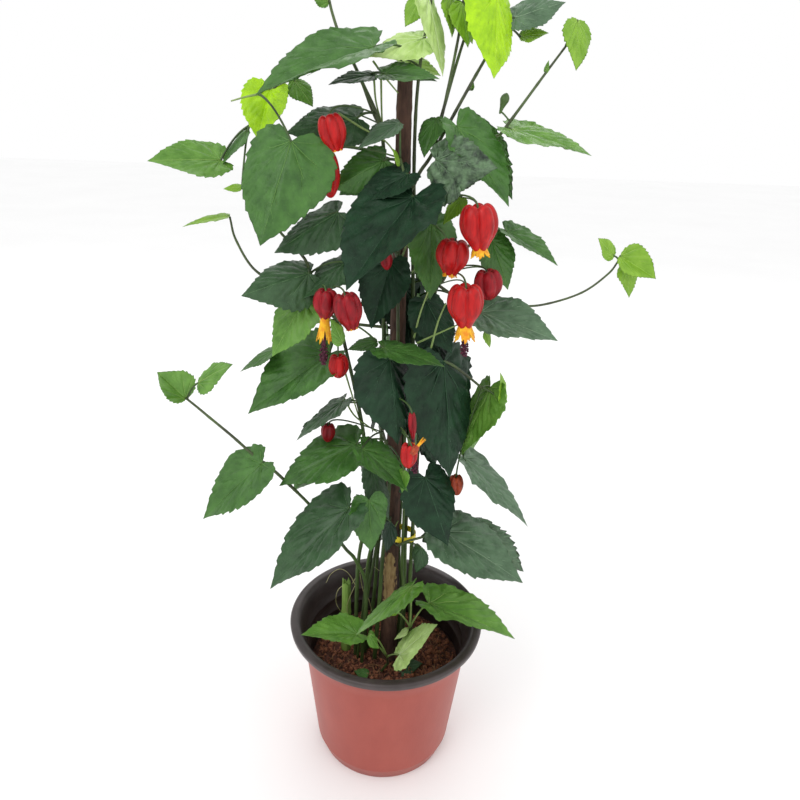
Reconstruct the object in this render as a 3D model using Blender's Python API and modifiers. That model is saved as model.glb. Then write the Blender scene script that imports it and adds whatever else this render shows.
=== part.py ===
"""Potted trailing abutilon: a nursery pot of soil, the woody main stem, thin stems, shoots and flowers.

Metres, +Z up. The origin is the centre of the pot's flat underside, and the plant is looked at from -Y.
"""

import math
import random

import bmesh
import bpy
from mathutils import Vector

MM = 0.001
GAP = 0.3 * MM  # clearance between neighbouring pieces

# Pot
POT_HEIGHT = 126 * MM
RIM_RADIUS = 81 * MM
WALL_TOP_RADIUS = 74.5 * MM
WALL_FOOT_RADIUS = 58.5 * MM
UNDERSIDE_RADIUS = 54 * MM
WALL = 1.8 * MM
LIP_HEIGHT = 8 * MM
FOOT_HEIGHT = 11 * MM
POT_STEPS = 32
DRAIN_HOLES = 6
DRAIN_HOLE_RADIUS = 5 * MM
DRAIN_CIRCLE_RADIUS = 36 * MM

# Soil
SOIL_LEVEL = 78 * MM

# Woody main stem: radius in mm by the share of its height, from the root flare to the hidden top
TRUNK_FOOT = Vector((2.6 * MM, 3.0 * MM, SOIL_LEVEL + GAP))
TRUNK_TOP = Vector((0.6 * MM, 0.0, 546 * MM))
TRUNK_TOP_SHARE = 0.985  # no shoot leaves the trunk above this share of its height
TRUNK_RADII = ((0.0, 8.6), (0.01, 7.6), (0.04, 6.5), (0.5, 5.7), (1.0, 4.9))

# Cut cane beside the stems: a hollow-looking stump with a square top
CANE_FOOT = (-35 * MM, 10 * MM)
CANE_HEIGHT = 72 * MM
CANE_LEAN = (0 * MM, 2 * MM)
CANE_RADII = (4.2 * MM, 3.6 * MM)

# Tie: a flat oval band that holds the outer right stem to the trunk, with the other right stem between them
TIE_STEM = "stem_right_outer"
TIE_HEIGHT = 205 * MM
TIE_BAND = 3.4 * MM
TIE_THICKNESS = 0.8 * MM
TIE_ROOM = 1.03  # how much wider than the trunk the oval is
TIE_STEPS = 28

# Leaves
BLADE_THICKNESS = 1.0 * MM
HALF_WIDTH_SHARE = 0.40  # widest half of a blade over its length
ARCH = 0.02  # rise of the midrib over the blade's length
STEM_RADII = (1.3 * MM, 0.9 * MM)
TWIG_RADII = (1.1 * MM, 0.8 * MM)
PETIOLE_RADII = (0.9 * MM, 0.8 * MM, 0.8 * MM, 0.35 * MM)
STALK_RADIUS = 0.8 * MM
PETIOLE_SUNK = 3 * MM
ROOT_CLEAR = 2  # path points at a stem's start that no petiole grows from
# Half outline of a blade: (share of the length, share of the half width), from the sinus to the tip
HALF_OUTLINE = ((-0.11, 0.50), (0.18, 0.98), (0.52, 0.90), (0.81, 0.40))
MIDRIB_KNOT = 0.38
SMALL_LEAF = 34 * MM  # a shorter blade has no lobe behind its joint

# Flowers
CALYX_RIBS = 5
RIB_DEPTH = 0.08
SMALL_CALYX = 6 * MM  # a smaller one is a bud, plain and six-sided
CALYX_PROFILE = ((0.0, 0.30), (0.14, 0.82), (0.42, 1.0), (1.0, 0.36))  # share of its length, of its radius
PETAL_SPREAD = 0.62  # of the calyx's radius, at the petals' tips
COLUMN_RADII = (1.3 * MM, 2.1 * MM)
COLUMN_REACH = 2.2  # how far the column hangs below the calyx, over the petals' length
COLUMN_SHOWS = 5.2 * MM  # it shows where the petals are longer than this

# How a stalk bends: share of the way back to its root where it is highest, and its rise over its length
PETIOLE_RISE = (0.5, 0.22)
FLOWER_STALK_RISE = (0.0, 0.30)

# Back of the crown: a shoot repeats behind the trunk on the same lines of sight, faces the other way,
# and varies a little in size and turn
BACK_SEED = 12
BACK_DEPTH = 26
BACK_STRETCH = 0.85
BACK_SCALE = (0.78, 0.92)
BACK_SWING = 0.16  # greatest turn of a blade about its joint, in radians
BACK_REACH = 90
BACK_START = 15 * MM
BACK_FLOWER = 20  # only flowers wider than this on the board repeat
BACK_LEAF = 40  # and only leaves longer than this
# The shoots that repeat, each with how much further back than the rest
BACK_SHOOTS = {
    "foliage_top_left": 0,
    "foliage_top_right": 0,
    "foliage_right_upper": 0,
    "foliage_right_middle": 0,
    "foliage_centre": 0,
    "foliage_left_middle": 0,
    "foliage_centre_low": 14,
    "foliage_right_low": 0,
    "foliage_low_left": 0,
    "foliage_low_right": 0,
}

# The plant is laid out on a drawing board that the viewer looks straight at. A place on it is in mm
# from its top left corner, x to the right and y down, and its depth is in mm behind the trunk's axis.
EYE = Vector((-3.4, -485.0, 528.0)) * MM
BOARD_DISTANCE = 700
BOARD_CENTRE = (400, 380)
LOOK_DOWN = math.radians(21.2)
LOOK_ASIDE = math.radians(0.9)
HEAD_TILT = math.radians(2.14)

# Thin stems: radius at the foot and the tip in mm, the foot on the soil in mm, then board x, y and depth
STEMS = {
    "stem_left_outer": (
        (1.8, 1.2),
        (-26, 2),
        (
            (357, 585, 0), (359, 556, -2), (366, 515, -6), (366, 470, -8), (363, 430, -8),
            (354, 385, -10), (346, 350, -12),
        ),
    ),
    "stem_left": (
        (2.0, 1.3),
        (-18, 6),
        (
            (367, 585, 5), (373, 540, 6), (379, 480, 8), (383, 400, 9), (384, 300, 9), (384, 230, 6),
            (385, 170, 4),
        ),
    ),
    "stem_long_left": (
        (1.6, 1.1),
        (-20, -8),
        (
            (366, 590, -10), (356, 561, -14), (345, 548, -18), (325, 522, -21), (308, 503, -22),
            (297, 492, -24),
        ),
    ),
    "stem_right": (
        (2.0, 1.3),
        (15, 4),
        (
            (404, 590, 4), (405, 540, 4), (408, 480, 4), (412, 400, 4), (413, 345, 4), (413, 270, 4),
            (414, 215, 3),
        ),
    ),
    "stem_right_outer": (
        (1.8, 1.2),
        (23, -4),
        (
            (410, 590, -3), (412, 540, -4), (416, 480, -6), (421, 400, -8), (424, 345, -8),
            (430, 310, -8),
        ),
    ),
    "stem_basal_right": (
        (1.3, 1.0),
        (11, -8),
        ((408, 645, -10), (410, 632, -12)),
    ),
    "stem_basal_left": (
        (1.3, 1.0),
        (-3, -17),
        ((387, 664, -19),),
    ),
}

# Shoots. "root" names a thin stem, or is the trunk. "stem" and "twigs" are board x, y and depth.
# A leaf is the joint's x, y, the tip's x, y, the depth of each, then the two half widths as they
# look: on the clockwise side of the midrib and on the other. A flower is the calyx's top x, y, its
# mouth's x, y, the depth, the calyx's width and the length of the petals below it.
SHOOTS = {
    "foliage_top_left": {
        "root": "stem_left",
        "stem": (
            (380, 124, 3), (362, 82, 0), (353, 62, 3), (340, 36, 11), (332, 12, 14), (328, -6, 14),
        ),
        "twigs": (
            ((353, 60, 4), (330, 60, 8), (300, 68, 3), (272, 84, -17), (259, 94, -25)),
            ((285, 76, -7), (262, 104, 0), (249, 126, -3)),
        ),
        "leaves": (
            (274, 78, 258, 141, -3, -20, 27, 21),
            (291, 141, 260, 246, -42, -62, 41, 50),
            (296, 80, 313, 107, 3, -3, 12, 7),
            (221, 160, 147, 161, -8, -28, 25, 17),
            (247, 130, 221, 167, -3, -11, 5, 4),
            (376, 75, 328, 85, -11, -20, 9, 3),
            (384, 74, 440, 79, -22, -26, 4, 13),
            (357, 118, 285, 133, -6, -17, 20, 24),
            (329, 2, 309, -14, 14, 6, 7, 9),
            (328, -4, 343, -24, 14, 20, 8, 8),
        ),
        "flowers": (
            (328, 114, 337, 151, -34, 27, 2),
        ),
    },
    "foliage_top": {
        "root": "stem_right",
        "stem": (
            (414, 170, 4), (415, 130, 4), (417, 95, 4), (421, 58, 0), (425, 36, 0), (430, 10, 3),
            (432, -12, 6),
        ),
        "twigs": (),
        "leaves": (
            (374, 47, 244, 97, -20, -42, 33, 7),
            (424, 38, 367, 57, -3, -14, 14, 14),
            (449, -7, 443, 77, 2, -8, 24, 12),
            (421, -3, 405, 27, 4, 2, 10, 12),
            (399, 60, 441, 76, 10, 7, 7, 12),
            (432, -10, 418, -34, 6, 11, 9, 9),
        ),
        "flowers": (),
    },
    "foliage_top_right": {
        "root": "trunk",
        "stem": (
            (410, 192, -11), (420, 172, -13), (431, 156, -11), (452, 118, -6), (472, 82, -3),
            (484, 61, 3), (498, 36, 11), (512, 18, 14),
        ),
        "twigs": (
            ((433, 152, -11), (443, 112, -3), (452, 70, 3), (460, 28, 6), (464, -4, 8), (466, -20, 8)),
            ((441, 118, -4), (457, 62, 8), (470, 20, 11), (477, -10, 11)),
        ),
        "leaves": (
            (498, -8, 494, 79, 0, -22, 21, 20),
            (514, 18, 566, 2, 14, 17, 14, 13),
            (520, 37, 549, 33, 17, 14, 5, 8),
            (462, 2, 468, 48, 6, 0, 9, 10),
            (439, 112, 424, 158, -6, -17, 14, 10),
            (468, -16, 450, -38, 8, 0, 10, 10),
            (478, -12, 503, -32, 11, 17, 9, 10),
        ),
        "flowers": (),
    },
    "foliage_right_upper": {
        "root": "trunk",
        "stem": (
            (411, 222, -13), (424, 200, -17), (440, 175, -17), (462, 152, -8), (485, 140, 0),
            (500, 135, 3),
        ),
        "twigs": (
            ((500, 135, 3), (520, 108, 4), (545, 74, 7), (566, 46, 10)),
        ),
        "leaves": (
            (457, 126, 509, 207, -17, -28, 16, 30),
            (437, 158, 497, 170, -28, -34, 26, 18),
            (452, 180, 420, 211, -34, -42, 10, 14),
            (462, 197, 443, 225, -20, -25, 7, 9),
            (511, 129, 592, 156, 3, -14, 5, 14),
            (578, 20, 576, 71, 11, 3, 13, 14),
        ),
        "flowers": (
            (478, 204, 480, 248, -53, 38, 9),
            (500, 113, 507, 93, 3, 9, 0),
        ),
    },
    "foliage_right_middle": {
        "root": "stem_right_outer",
        "stem": ((438, 285, -14), (452, 262, -14), (470, 245, -11), (488, 234, -6), (500, 230, -3)),
        "twigs": (
            (
                (438, 285, -14), (460, 300, -11), (478, 308, -8), (505, 306, 0), (541, 305, 8),
                (581, 293, 14), (608, 274, 17), (619, 260, 17),
            ),
        ),
        "leaves": (
            (506, 231, 558, 266, -3, -14, 3, 16),
            (492, 240, 508, 290, -11, -20, 17, 18),
            (480, 312, 558, 341, -20, -31, 12, 25),
            (432, 223, 430, 300, -22, -29, 22, 25),
            (426, 300, 452, 354, -24, -42, 24, 18),
            (614, 256, 598, 238, 17, 14, 8, 8),
            (620, 256, 656, 279, 14, 6, 10, 20),
            (628, 260, 629, 298, 20, 17, 9, 10),
        ),
        "flowers": (
            (455, 240, 450, 273, -42, 33, 4),
            (466, 284, 465, 325, -59, 36, 15),
            (487, 270, 489, 300, -31, 28, 0),
        ),
    },
    "foliage_centre": {
        "root": "trunk",
        "stem": (
            (398, 342, -13), (398, 300, -14), (398, 262, -17), (401, 230, -20), (405, 200, -22),
            (404, 175, -22), (400, 158, -20),
        ),
        "twigs": (),
        "leaves": (
            (413, 197, 346, 291, -36, -87, 50, 26),
            (408, 174, 356, 204, -25, -36, 18, 12),
            (384, 160, 332, 186, -14, -22, 24, 20),
            (400, 123, 357, 150, -20, -25, 11, 6),
            (392, 262, 371, 329, -20, -31, 25, 22),
        ),
        "flowers": (
            (327, 158, 331, 198, -25, 22, 0),
            (386, 254, 387, 270, -28, 12, 0),
        ),
    },
    "foliage_left_middle": {
        "root": "stem_left_outer",
        "stem": (
            (338, 320, -17), (325, 295, -17), (312, 277, -20), (306, 261, -22), (294, 246, -22),
            (281, 233, -22), (274, 220, -20),
        ),
        "twigs": (
            ((312, 277, -20), (285, 285, -17), (255, 270, -17), (236, 240, -14), (230, 218, -14)),
        ),
        "leaves": (
            (326, 214, 274, 253, -28, -39, 15, 20),
            (309, 273, 241, 296, -28, -48, 17, 28),
            (346, 262, 302, 299, -22, -34, 14, 14),
            (305, 299, 272, 357, -22, -34, 20, 22),
            (330, 353, 248, 414, -6, -20, 33, 20),
            (275, 350, 240, 372, -3, -6, 6, 4),
            (343, 343, 330, 318, -62, -64, 7, 8),
            (377, 342, 347, 350, -17, -19, 8, 6),
            (229, 216, 182, 227, -14, -20, 4, 3),
        ),
        "flowers": (
            (326, 290, 325, 317, -42, 25, 23),
            (344, 294, 352, 328, -53, 28, 2),
            (338, 354, 339, 378, -28, 20, 0),
            (323, 341, 324, 361, -20, 9, 0),
        ),
    },
    "foliage_centre_low": {
        "root": "trunk",
        "stem": ((393, 462, -13), (385, 440, -20), (378, 410, -22), (378, 375, -24), (380, 348, -25)),
        "twigs": (),
        "leaves": (
            (383, 348, 445, 367, -46, -60, 9, 14),
            (390, 359, 398, 445, -40, -64, 39, 22),
            (357, 444, 279, 486, -22, -42, 27, 18),
            (362, 448, 408, 492, -50, -62, 10, 20),
            (343, 401, 296, 441, -17, -31, 9, 6),
            (371, 468, 389, 520, -20, -28, 11, 12),
        ),
        "flowers": (
            (328, 426, 328, 442, -17, 14, 0),
            (412, 416, 413, 438, -62, 8, 18),
            (409, 447, 408, 468, -70, 17, 0),
        ),
    },
    "foliage_right_low": {
        "root": "trunk",
        "stem": (
            (402, 383, -11), (414, 376, -20), (430, 366, -25), (446, 362, -28), (466, 375, -22),
            (482, 388, -17),
        ),
        "twigs": (),
        "leaves": (
            (444, 361, 450, 478, -30, -44, 36, 30),
            (490, 387, 461, 456, -11, -25, 13, 22),
            (500, 404, 500, 373, -11, -8, 4, 4),
            (463, 457, 528, 527, -8, -25, 9, 14),
        ),
        "flowers": (
            (456, 478, 457, 495, -20, 14, 0),
        ),
    },
    "foliage_low_left": {
        "root": "trunk",
        "stem": ((388, 522, -11), (378, 513, -20), (366, 508, -25), (352, 505, -28)),
        "twigs": (),
        "leaves": (
            (349, 508, 270, 589, -46, -76, 34, 26),
            (369, 500, 371, 552, -46, -54, 19, 19),
            (391, 522, 386, 553, -20, -22, 8, 7),
        ),
        "flowers": (),
    },
    "foliage_low_right": {
        "root": "trunk",
        "stem": ((398, 545, -11), (408, 541, -20), (425, 536, -22), (436, 528, -20)),
        "twigs": (),
        "leaves": (
            (441, 530, 523, 583, -14, -36, 27, 37),
            (425, 477, 448, 546, -36, -50, 31, 20),
            (418, 566, 419, 546, -17, -17, 6, 6),
        ),
        "flowers": (),
    },
    "foliage_trailing_left": {
        "root": "stem_long_left",
        "stem": (
            (270, 467, -31), (257, 458, -28), (232, 436, -25), (209, 417, -22), (197, 407, -22),
            (187, 399, -22),
        ),
        "twigs": (),
        "leaves": (
            (262, 463, 203, 519, -36, -48, 21, 26),
            (186, 399, 157, 372, -22, -17, 22, 12),
            (198, 383, 233, 364, -25, -31, 12, 10),
        ),
        "flowers": (),
    },
    "foliage_basal_right": {
        "root": "stem_basal_right",
        "stem": ((410, 627, -18),),
        "twigs": (),
        "leaves": (
            (429, 601, 515, 639, -25, -48, 16, 29),
            (412, 586, 355, 636, -38, -64, 9, 9),
            (408, 629, 394, 640, -22, -25, 3, 3),
        ),
        "flowers": (),
    },
    "foliage_basal_left": {
        "root": "stem_basal_left",
        "stem": ((387, 657, -29),),
        "twigs": (),
        "leaves": (
            (358, 634, 301, 635, -42, -50, 21, 7),
            (369, 634, 379, 649, -50, -50, 6, 5),
            (402, 654, 434, 625, -36, -39, 12, 12),
        ),
        "flowers": (),
    },
}


def sight_axes():
    """The viewer's forward, right and up directions."""
    level = math.cos(LOOK_DOWN)
    forward = Vector((math.sin(LOOK_ASIDE) * level, math.cos(LOOK_ASIDE) * level, -math.sin(LOOK_DOWN)))
    flat = Vector((math.cos(LOOK_ASIDE), -math.sin(LOOK_ASIDE), 0))
    upright = flat.cross(forward)
    right = flat * math.cos(HEAD_TILT) + upright * math.sin(HEAD_TILT)
    up = upright * math.cos(HEAD_TILT) - flat * math.sin(HEAD_TILT)
    return forward, right, up


FORWARD, RIGHT, UP = sight_axes()


def place(x, y, depth):
    """World point of a board place at a depth."""
    sight = FORWARD * BOARD_DISTANCE + RIGHT * (x - BOARD_CENTRE[0]) + UP * (BOARD_CENTRE[1] - y)
    return EYE + sight * ((depth * MM - EYE.y) / sight.y)


def real_size(board_size, point):
    """Real length of a board length seen at a point."""
    return board_size * (point - EYE).dot(FORWARD) / BOARD_DISTANCE


def smooth_path(points, steps=4):
    """Points along a Catmull-Rom curve through the given ones."""
    ends = [points[0] * 2 - points[1], *points, points[-1] * 2 - points[-2]]
    path = []
    for before, start, end, after in zip(ends, ends[1:], ends[2:], ends[3:]):
        for step in range(steps):
            t = step / steps
            straight = start * 2 + (end - before) * t
            bend = (before * 2 - start * 5 + end * 4 - after) * t**2
            twist = (start * 3 - before - end * 3 + after) * t**3
            path.append((straight + bend + twist) / 2)
    path.append(points[-1])
    return path


def material(name, colour, roughness):
    made = bpy.data.materials.new(name)
    made.use_nodes = True
    shader = made.node_tree.nodes["Principled BSDF"]
    shader.inputs["Base Color"].default_value = (*colour, 1)
    shader.inputs["Roughness"].default_value = roughness
    return made


def add_object(name, data, collection):
    made = bpy.data.objects.new(name, data)
    collection.objects.link(made)
    return made


def tube(name, points, radii, collection, sides=6):
    """A capped curve through the points, with one radius at each."""
    curve = bpy.data.curves.new(name, "CURVE")
    curve.dimensions = "3D"
    curve.bevel_depth = 1.0
    curve.bevel_resolution = sides // 2 - 2
    curve.use_fill_caps = True
    spline = curve.splines.new("POLY")
    spline.points.add(len(points) - 1)
    for knot, point, radius in zip(spline.points, points, radii):
        knot.co = (*point, 1)
        knot.radius = radius
    return add_object(name, curve, collection)


def taper(count, foot, tip):
    return [foot + (tip - foot) * i / (count - 1) for i in range(count)]


def rod(name, path, radii, collection, sides=3):
    """A capped prism that follows a path, with one radius at each point. Twigs and petioles are rods."""
    points = []
    aside = (path[1] - path[0]).orthogonal().normalized()
    for i, (point, radius) in enumerate(zip(path, radii)):
        along = (path[min(i + 1, len(path) - 1)] - path[max(i - 1, 0)]).normalized()
        aside = (aside - along * aside.dot(along)).normalized()
        other = along.cross(aside)
        for side in range(sides):
            turn = math.tau * side / sides
            points.append(point + (aside * math.cos(turn) + other * math.sin(turn)) * radius)
    faces = [tuple(reversed(range(sides))), tuple(range(len(points) - sides, len(points)))]
    for ring in range(0, len(points) - sides, sides):
        for side in range(sides):
            beside = (side + 1) % sides
            faces.append((ring + side, ring + beside, ring + sides + beside, ring + sides + side))
    mesh = bpy.data.meshes.new(name)
    mesh.from_pydata(points, [], faces)
    return add_object(name, mesh, collection)


def lathe(name, profile, collection, steps=POT_STEPS):
    """A turned solid: the profile runs from the axis at the top, down the outside and back to the axis."""
    mesh = bpy.data.meshes.new(name)
    points = [(radius, 0, height) for radius, height in profile]
    mesh.from_pydata(points, [(i, i + 1) for i in range(len(points) - 1)], [])
    turned = add_object(name, mesh, collection)
    screw = turned.modifiers.new("Turn", "SCREW")
    screw.steps = steps
    screw.render_steps = steps
    screw.use_merge_vertices = True
    screw.merge_threshold = 0.00005
    return turned


def wall_radius(height, inset=0.0):
    """Outer radius of the tapering wall at a height, less an inset."""
    share = (height - FOOT_HEIGHT) / (POT_HEIGHT - FOOT_HEIGHT)
    return WALL_FOOT_RADIUS + (WALL_TOP_RADIUS - WALL_FOOT_RADIUS) * share - inset


def build_pot(collection, cutters):
    lip_foot = POT_HEIGHT - LIP_HEIGHT
    profile = [
        (0, 2 * WALL),
        (UNDERSIDE_RADIUS - WALL, 2 * WALL),
        (WALL_FOOT_RADIUS - WALL, FOOT_HEIGHT + WALL),
        (wall_radius(POT_HEIGHT - WALL, WALL), POT_HEIGHT - WALL),
        (wall_radius(POT_HEIGHT, WALL / 2), POT_HEIGHT),
        (RIM_RADIUS - WALL, POT_HEIGHT),
        (RIM_RADIUS, POT_HEIGHT - WALL),
        (RIM_RADIUS - WALL / 3, lip_foot + WALL / 2),
        (RIM_RADIUS - WALL, lip_foot),
        (wall_radius(lip_foot), lip_foot - WALL / 2),
        (WALL_FOOT_RADIUS, FOOT_HEIGHT),
        (UNDERSIDE_RADIUS, 0),
        (0, 0),
    ]
    pot = lathe("pot", profile, collection)
    for i in range(DRAIN_HOLES):
        turn = (i + 0.5) * math.tau / DRAIN_HOLES
        bpy.ops.mesh.primitive_cylinder_add(
            vertices=12,
            radius=DRAIN_HOLE_RADIUS,
            depth=8 * WALL,
            location=(DRAIN_CIRCLE_RADIUS * math.cos(turn), DRAIN_CIRCLE_RADIUS * math.sin(turn), WALL),
        )
        hole = bpy.context.object
        hole.name = f"drain_hole_{i + 1}"
        hole.users_collection[0].objects.unlink(hole)
        cutters.objects.link(hole)
        hole.hide_render = True
        hole.display_type = "WIRE"
        cut = pot.modifiers.new(hole.name, "BOOLEAN")
        cut.operation = "DIFFERENCE"
        cut.solver = "MANIFOLD"
        cut.object = hole
    pot.data.materials.append(material("terracotta_plastic", (0.43, 0.11, 0.08), 0.5))


def build_soil(collection):
    """The soil follows the inside of the wall, a clearance away."""
    inset = WALL + GAP
    profile = (
        (0, SOIL_LEVEL),
        (wall_radius(SOIL_LEVEL, inset), SOIL_LEVEL),
        (WALL_FOOT_RADIUS - inset, FOOT_HEIGHT + WALL + GAP),
        (UNDERSIDE_RADIUS - 2 * WALL, 2 * WALL + GAP),
        (0, 2 * WALL + GAP),
    )
    soil = lathe("soil", profile, collection)
    soil.data.materials.append(material("potting_soil", (0.05, 0.025, 0.018), 0.95))


def trunk_point(share):
    return TRUNK_FOOT.lerp(TRUNK_TOP, share)


def trunk_radius(share):
    for (low, wide), (high, narrow) in zip(TRUNK_RADII, TRUNK_RADII[1:]):
        if share <= high:
            return (wide + (narrow - wide) * (share - low) / (high - low)) * MM
    return TRUNK_RADII[-1][1] * MM


def build_trunk(collection):
    shares = [share for share, _ in TRUNK_RADII]
    shares = sorted({*shares, 0.02, 0.25, 0.75})
    points = [trunk_point(share) for share in shares]
    points[0] = Vector((points[1].x, points[1].y, points[0].z))  # an upright start keeps the foot level
    radii = [trunk_radius(share) for share in shares]
    trunk = tube("trunk", points, radii, collection, sides=12)
    trunk.data.materials.append(material("bark", (0.16, 0.08, 0.05), 0.85))


def build_cane(collection):
    x, y = CANE_FOOT
    foot = Vector((x, y, SOIL_LEVEL + GAP))
    lean = Vector((*CANE_LEAN, CANE_HEIGHT))
    path = [foot, foot + lean / 2, foot + lean]
    cane = tube("cut_cane", path, taper(3, *CANE_RADII), collection, sides=10)
    cane.data.materials.append(material("cut_cane", (0.32, 0.38, 0.16), 0.7))


def stem_path(name):
    """Points and radii of a thin stem, from its foot on the soil to its tip."""
    (foot_radius, tip_radius), (x, y), board = STEMS[name]
    foot = Vector((x * MM, y * MM, SOIL_LEVEL + 2 * GAP))
    path = smooth_path([foot, *(place(*point) for point in board)], steps=1)
    path.insert(0, foot - Vector((0, 0, GAP)))
    return path, taper(len(path), foot_radius * MM, tip_radius * MM)


def build_stems(collection):
    green = material("green_stem", (0.10, 0.16, 0.04), 0.6)
    for name in STEMS:
        points, radii = stem_path(name)
        stem = tube(name, points, radii, collection, sides=6)
        stem.data.materials.append(green)


def build_tie(collection):
    """An oval band with a flat section, snug at the trunk and at the outer stem."""
    share = (TIE_HEIGHT - TRUNK_FOOT.z) / (TRUNK_TOP.z - TRUNK_FOOT.z)
    trunk, hold = trunk_point(share), trunk_radius(share) + GAP
    path, radii = stem_path(TIE_STEM)
    above = next(i for i, point in enumerate(path) if point.z > TIE_HEIGHT)
    part = (TIE_HEIGHT - path[above - 1].z) / (path[above].z - path[above - 1].z)
    stem = path[above - 1].lerp(path[above], part)
    across = Vector((stem.x - trunk.x, stem.y - trunk.y, 0))
    along = across.normalized()
    aside = Vector((-along.y, along.x, 0))
    half_length = (hold + across.length + radii[above - 1] + GAP) / 2
    half_width = math.sqrt(half_length * hold) * TIE_ROOM
    centre = trunk + along * (half_length - hold)
    points = []
    for step in range(TIE_STEPS):
        turn = math.tau * step / TIE_STEPS
        for out, rise in ((0, 0), (TIE_THICKNESS, 0), (TIE_THICKNESS, TIE_BAND), (0, TIE_BAND)):
            x = (half_length + out) * math.cos(turn)
            y = (half_width + out) * math.sin(turn)
            points.append(centre + along * x + aside * y + Vector((0, 0, rise)))
    count = len(points)
    faces = []
    for ring in range(0, count, 4):
        for side in range(4):
            beside = (side + 1) % 4
            after = (ring + 4) % count
            faces.append((ring + side, after + side, after + beside, ring + beside))
    mesh = bpy.data.meshes.new("tie")
    mesh.from_pydata(points, [], faces)
    tie = add_object("tie", mesh, collection)
    tie.data.materials.append(material("yellow_tie", (0.80, 0.62, 0.05), 0.5))


def blade(name, row, collection, scale=1.0, behind=False):
    """A leaf blade as an open surface with thickness. Returns it with its joint and its direction.

    The two half widths as they look give the blade's turn about its midrib and its fold, because a
    half that is turned by an angle looks narrower by the angle's cosine.
    """
    x1, y1, x2, y2, depth1, depth2, wide_clockwise, wide_other = row
    joint = place(x1, y1, depth1)
    tip = place(x2, y2, depth2)
    middle = (joint + tip) / 2
    joint = middle + (joint - middle) * scale
    tip = middle + (tip - middle) * scale
    length = (tip - joint).length
    along = (tip - joint) / length
    seen = (middle - EYE if behind else EYE - middle).normalized()
    facing = (seen - along * seen.dot(along)).normalized()
    clockwise = along.cross(facing)
    wides = (wide_other, wide_clockwise) if behind else (wide_clockwise, wide_other)
    looks = [real_size(wide, middle) * scale for wide in wides]
    half = max(HALF_WIDTH_SHARE * length, *looks)
    turns = [math.acos(look / half) for look in looks]
    turn = sum(turns) / 2
    fold = (turns[1] - turns[0]) / 2
    if clockwise.z * math.sin(turn) < 0:  # of the two turns that look alike, the one that faces the sky
        turn = -turn
        fold = -fold
    face = facing * math.cos(turn) + clockwise * math.sin(turn)
    across = clockwise * math.cos(turn) - facing * math.sin(turn)
    sides = [side * math.cos(fold) + face * math.sin(fold) for side in (across, -across)]

    def surface(share, width, side):
        arch = face * (ARCH * length * 4 * share * (1 - share))
        return joint + along * (share * length) + side * (width * half) + arch

    outline = HALF_OUTLINE if length > SMALL_LEAF else HALF_OUTLINE[1:]
    points = [joint, tip, surface(MIDRIB_KNOT, 0, across)]
    faces = []
    for number, side in enumerate(sides):
        edge = [surface(share, width, side) for share, width in outline]
        rim = [0, *range(len(points), len(points) + len(edge)), 1]
        points += edge
        fan = [(2, corner, other) for corner, other in zip(rim, rim[1:])]
        faces += fan if number == 0 else [corners[::-1] for corners in fan]
    mesh = bpy.data.meshes.new(name)
    mesh.from_pydata(points, [], faces)
    made = add_object(name, mesh, collection)
    shell = made.modifiers.new("Thickness", "SOLIDIFY")
    shell.thickness = BLADE_THICKNESS
    shell.offset = 0
    return made, joint, along


def nearest_root(joint, paths):
    """The place on the shoot's stem or twigs that a petiole to the joint grows from."""
    ends = [pair for path in paths for pair in zip(path, path[1:] or path)]
    places = [start.lerp(end, share / 4) for start, end in ends for share in range(5)]
    return min(places, key=lambda point: (point - joint).length + max(0, point.z - joint.z) / 2)


def hanging_path(root, joint, end, rise):
    """A petiole or a flower's stalk rises from its root before it bends over to the joint."""
    control = joint.lerp(root, rise[0]) + Vector((0, 0, rise[1] * (joint - root).length))
    return [root, (root + control * 2 + joint) / 4, joint, end]


def turned_solid(name, rows, top, direction, collection, ribs=0.0, sides=10):
    """A ribbed solid of revolution along a direction: rows give the way down it and the radius, in m."""
    spin = direction.to_track_quat("Z", "Y")
    points = []
    for way, radius in rows:
        for side in range(sides):
            turn = math.tau * side / sides
            wide = radius * (1 + ribs * math.cos(CALYX_RIBS * turn))
            points.append(top + spin @ Vector((wide * math.cos(turn), wide * math.sin(turn), way)))
    faces = [tuple(reversed(range(sides))), tuple(range(len(points) - sides, len(points)))]
    for ring in range(0, len(points) - sides, sides):
        for side in range(sides):
            beside = (side + 1) % sides
            faces.append((ring + side, ring + beside, ring + sides + beside, ring + sides + side))
    mesh = bpy.data.meshes.new(name)
    mesh.from_pydata(points, [], faces)
    return add_object(name, mesh, collection)


def flower(name, row, paths, collection, scale=1.0):
    """A hanging flower: inflated calyx, petals that show below it, the column, and its stalk."""
    x1, y1, x2, y2, depth, wide, petals = row
    top = place(x1, y1, depth)
    mouth = place(x2, y2, depth)
    down = (mouth - top).normalized()
    length = (mouth - top).length * scale
    radius = real_size(wide, top) / 2 * scale
    reach = real_size(petals, mouth) * scale
    rows = [(way * length, wide * radius) for way, wide in CALYX_PROFILE]
    if petals:
        rows.append((length + reach, PETAL_SPREAD * radius))
    bud = radius < SMALL_CALYX
    ribs, sides = (0, 6) if bud else (RIB_DEPTH, 2 * CALYX_RIBS)
    pieces = [turned_solid(name + "_calyx", rows, top, down, collection, ribs, sides)]
    if reach > COLUMN_SHOWS:
        column_rows = ((0.8 * length, COLUMN_RADII[0]), (length + COLUMN_REACH * reach, COLUMN_RADII[1]))
        pieces.append(turned_solid(name + "_column", column_rows, top, down, collection, sides=4))
    root = nearest_root(top, paths)
    path = hanging_path(root, top, top + down * (0.3 * length), FLOWER_STALK_RISE)
    return [*pieces, rod(name + "_stalk", path, [STALK_RADIUS] * len(path), collection)]


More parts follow.
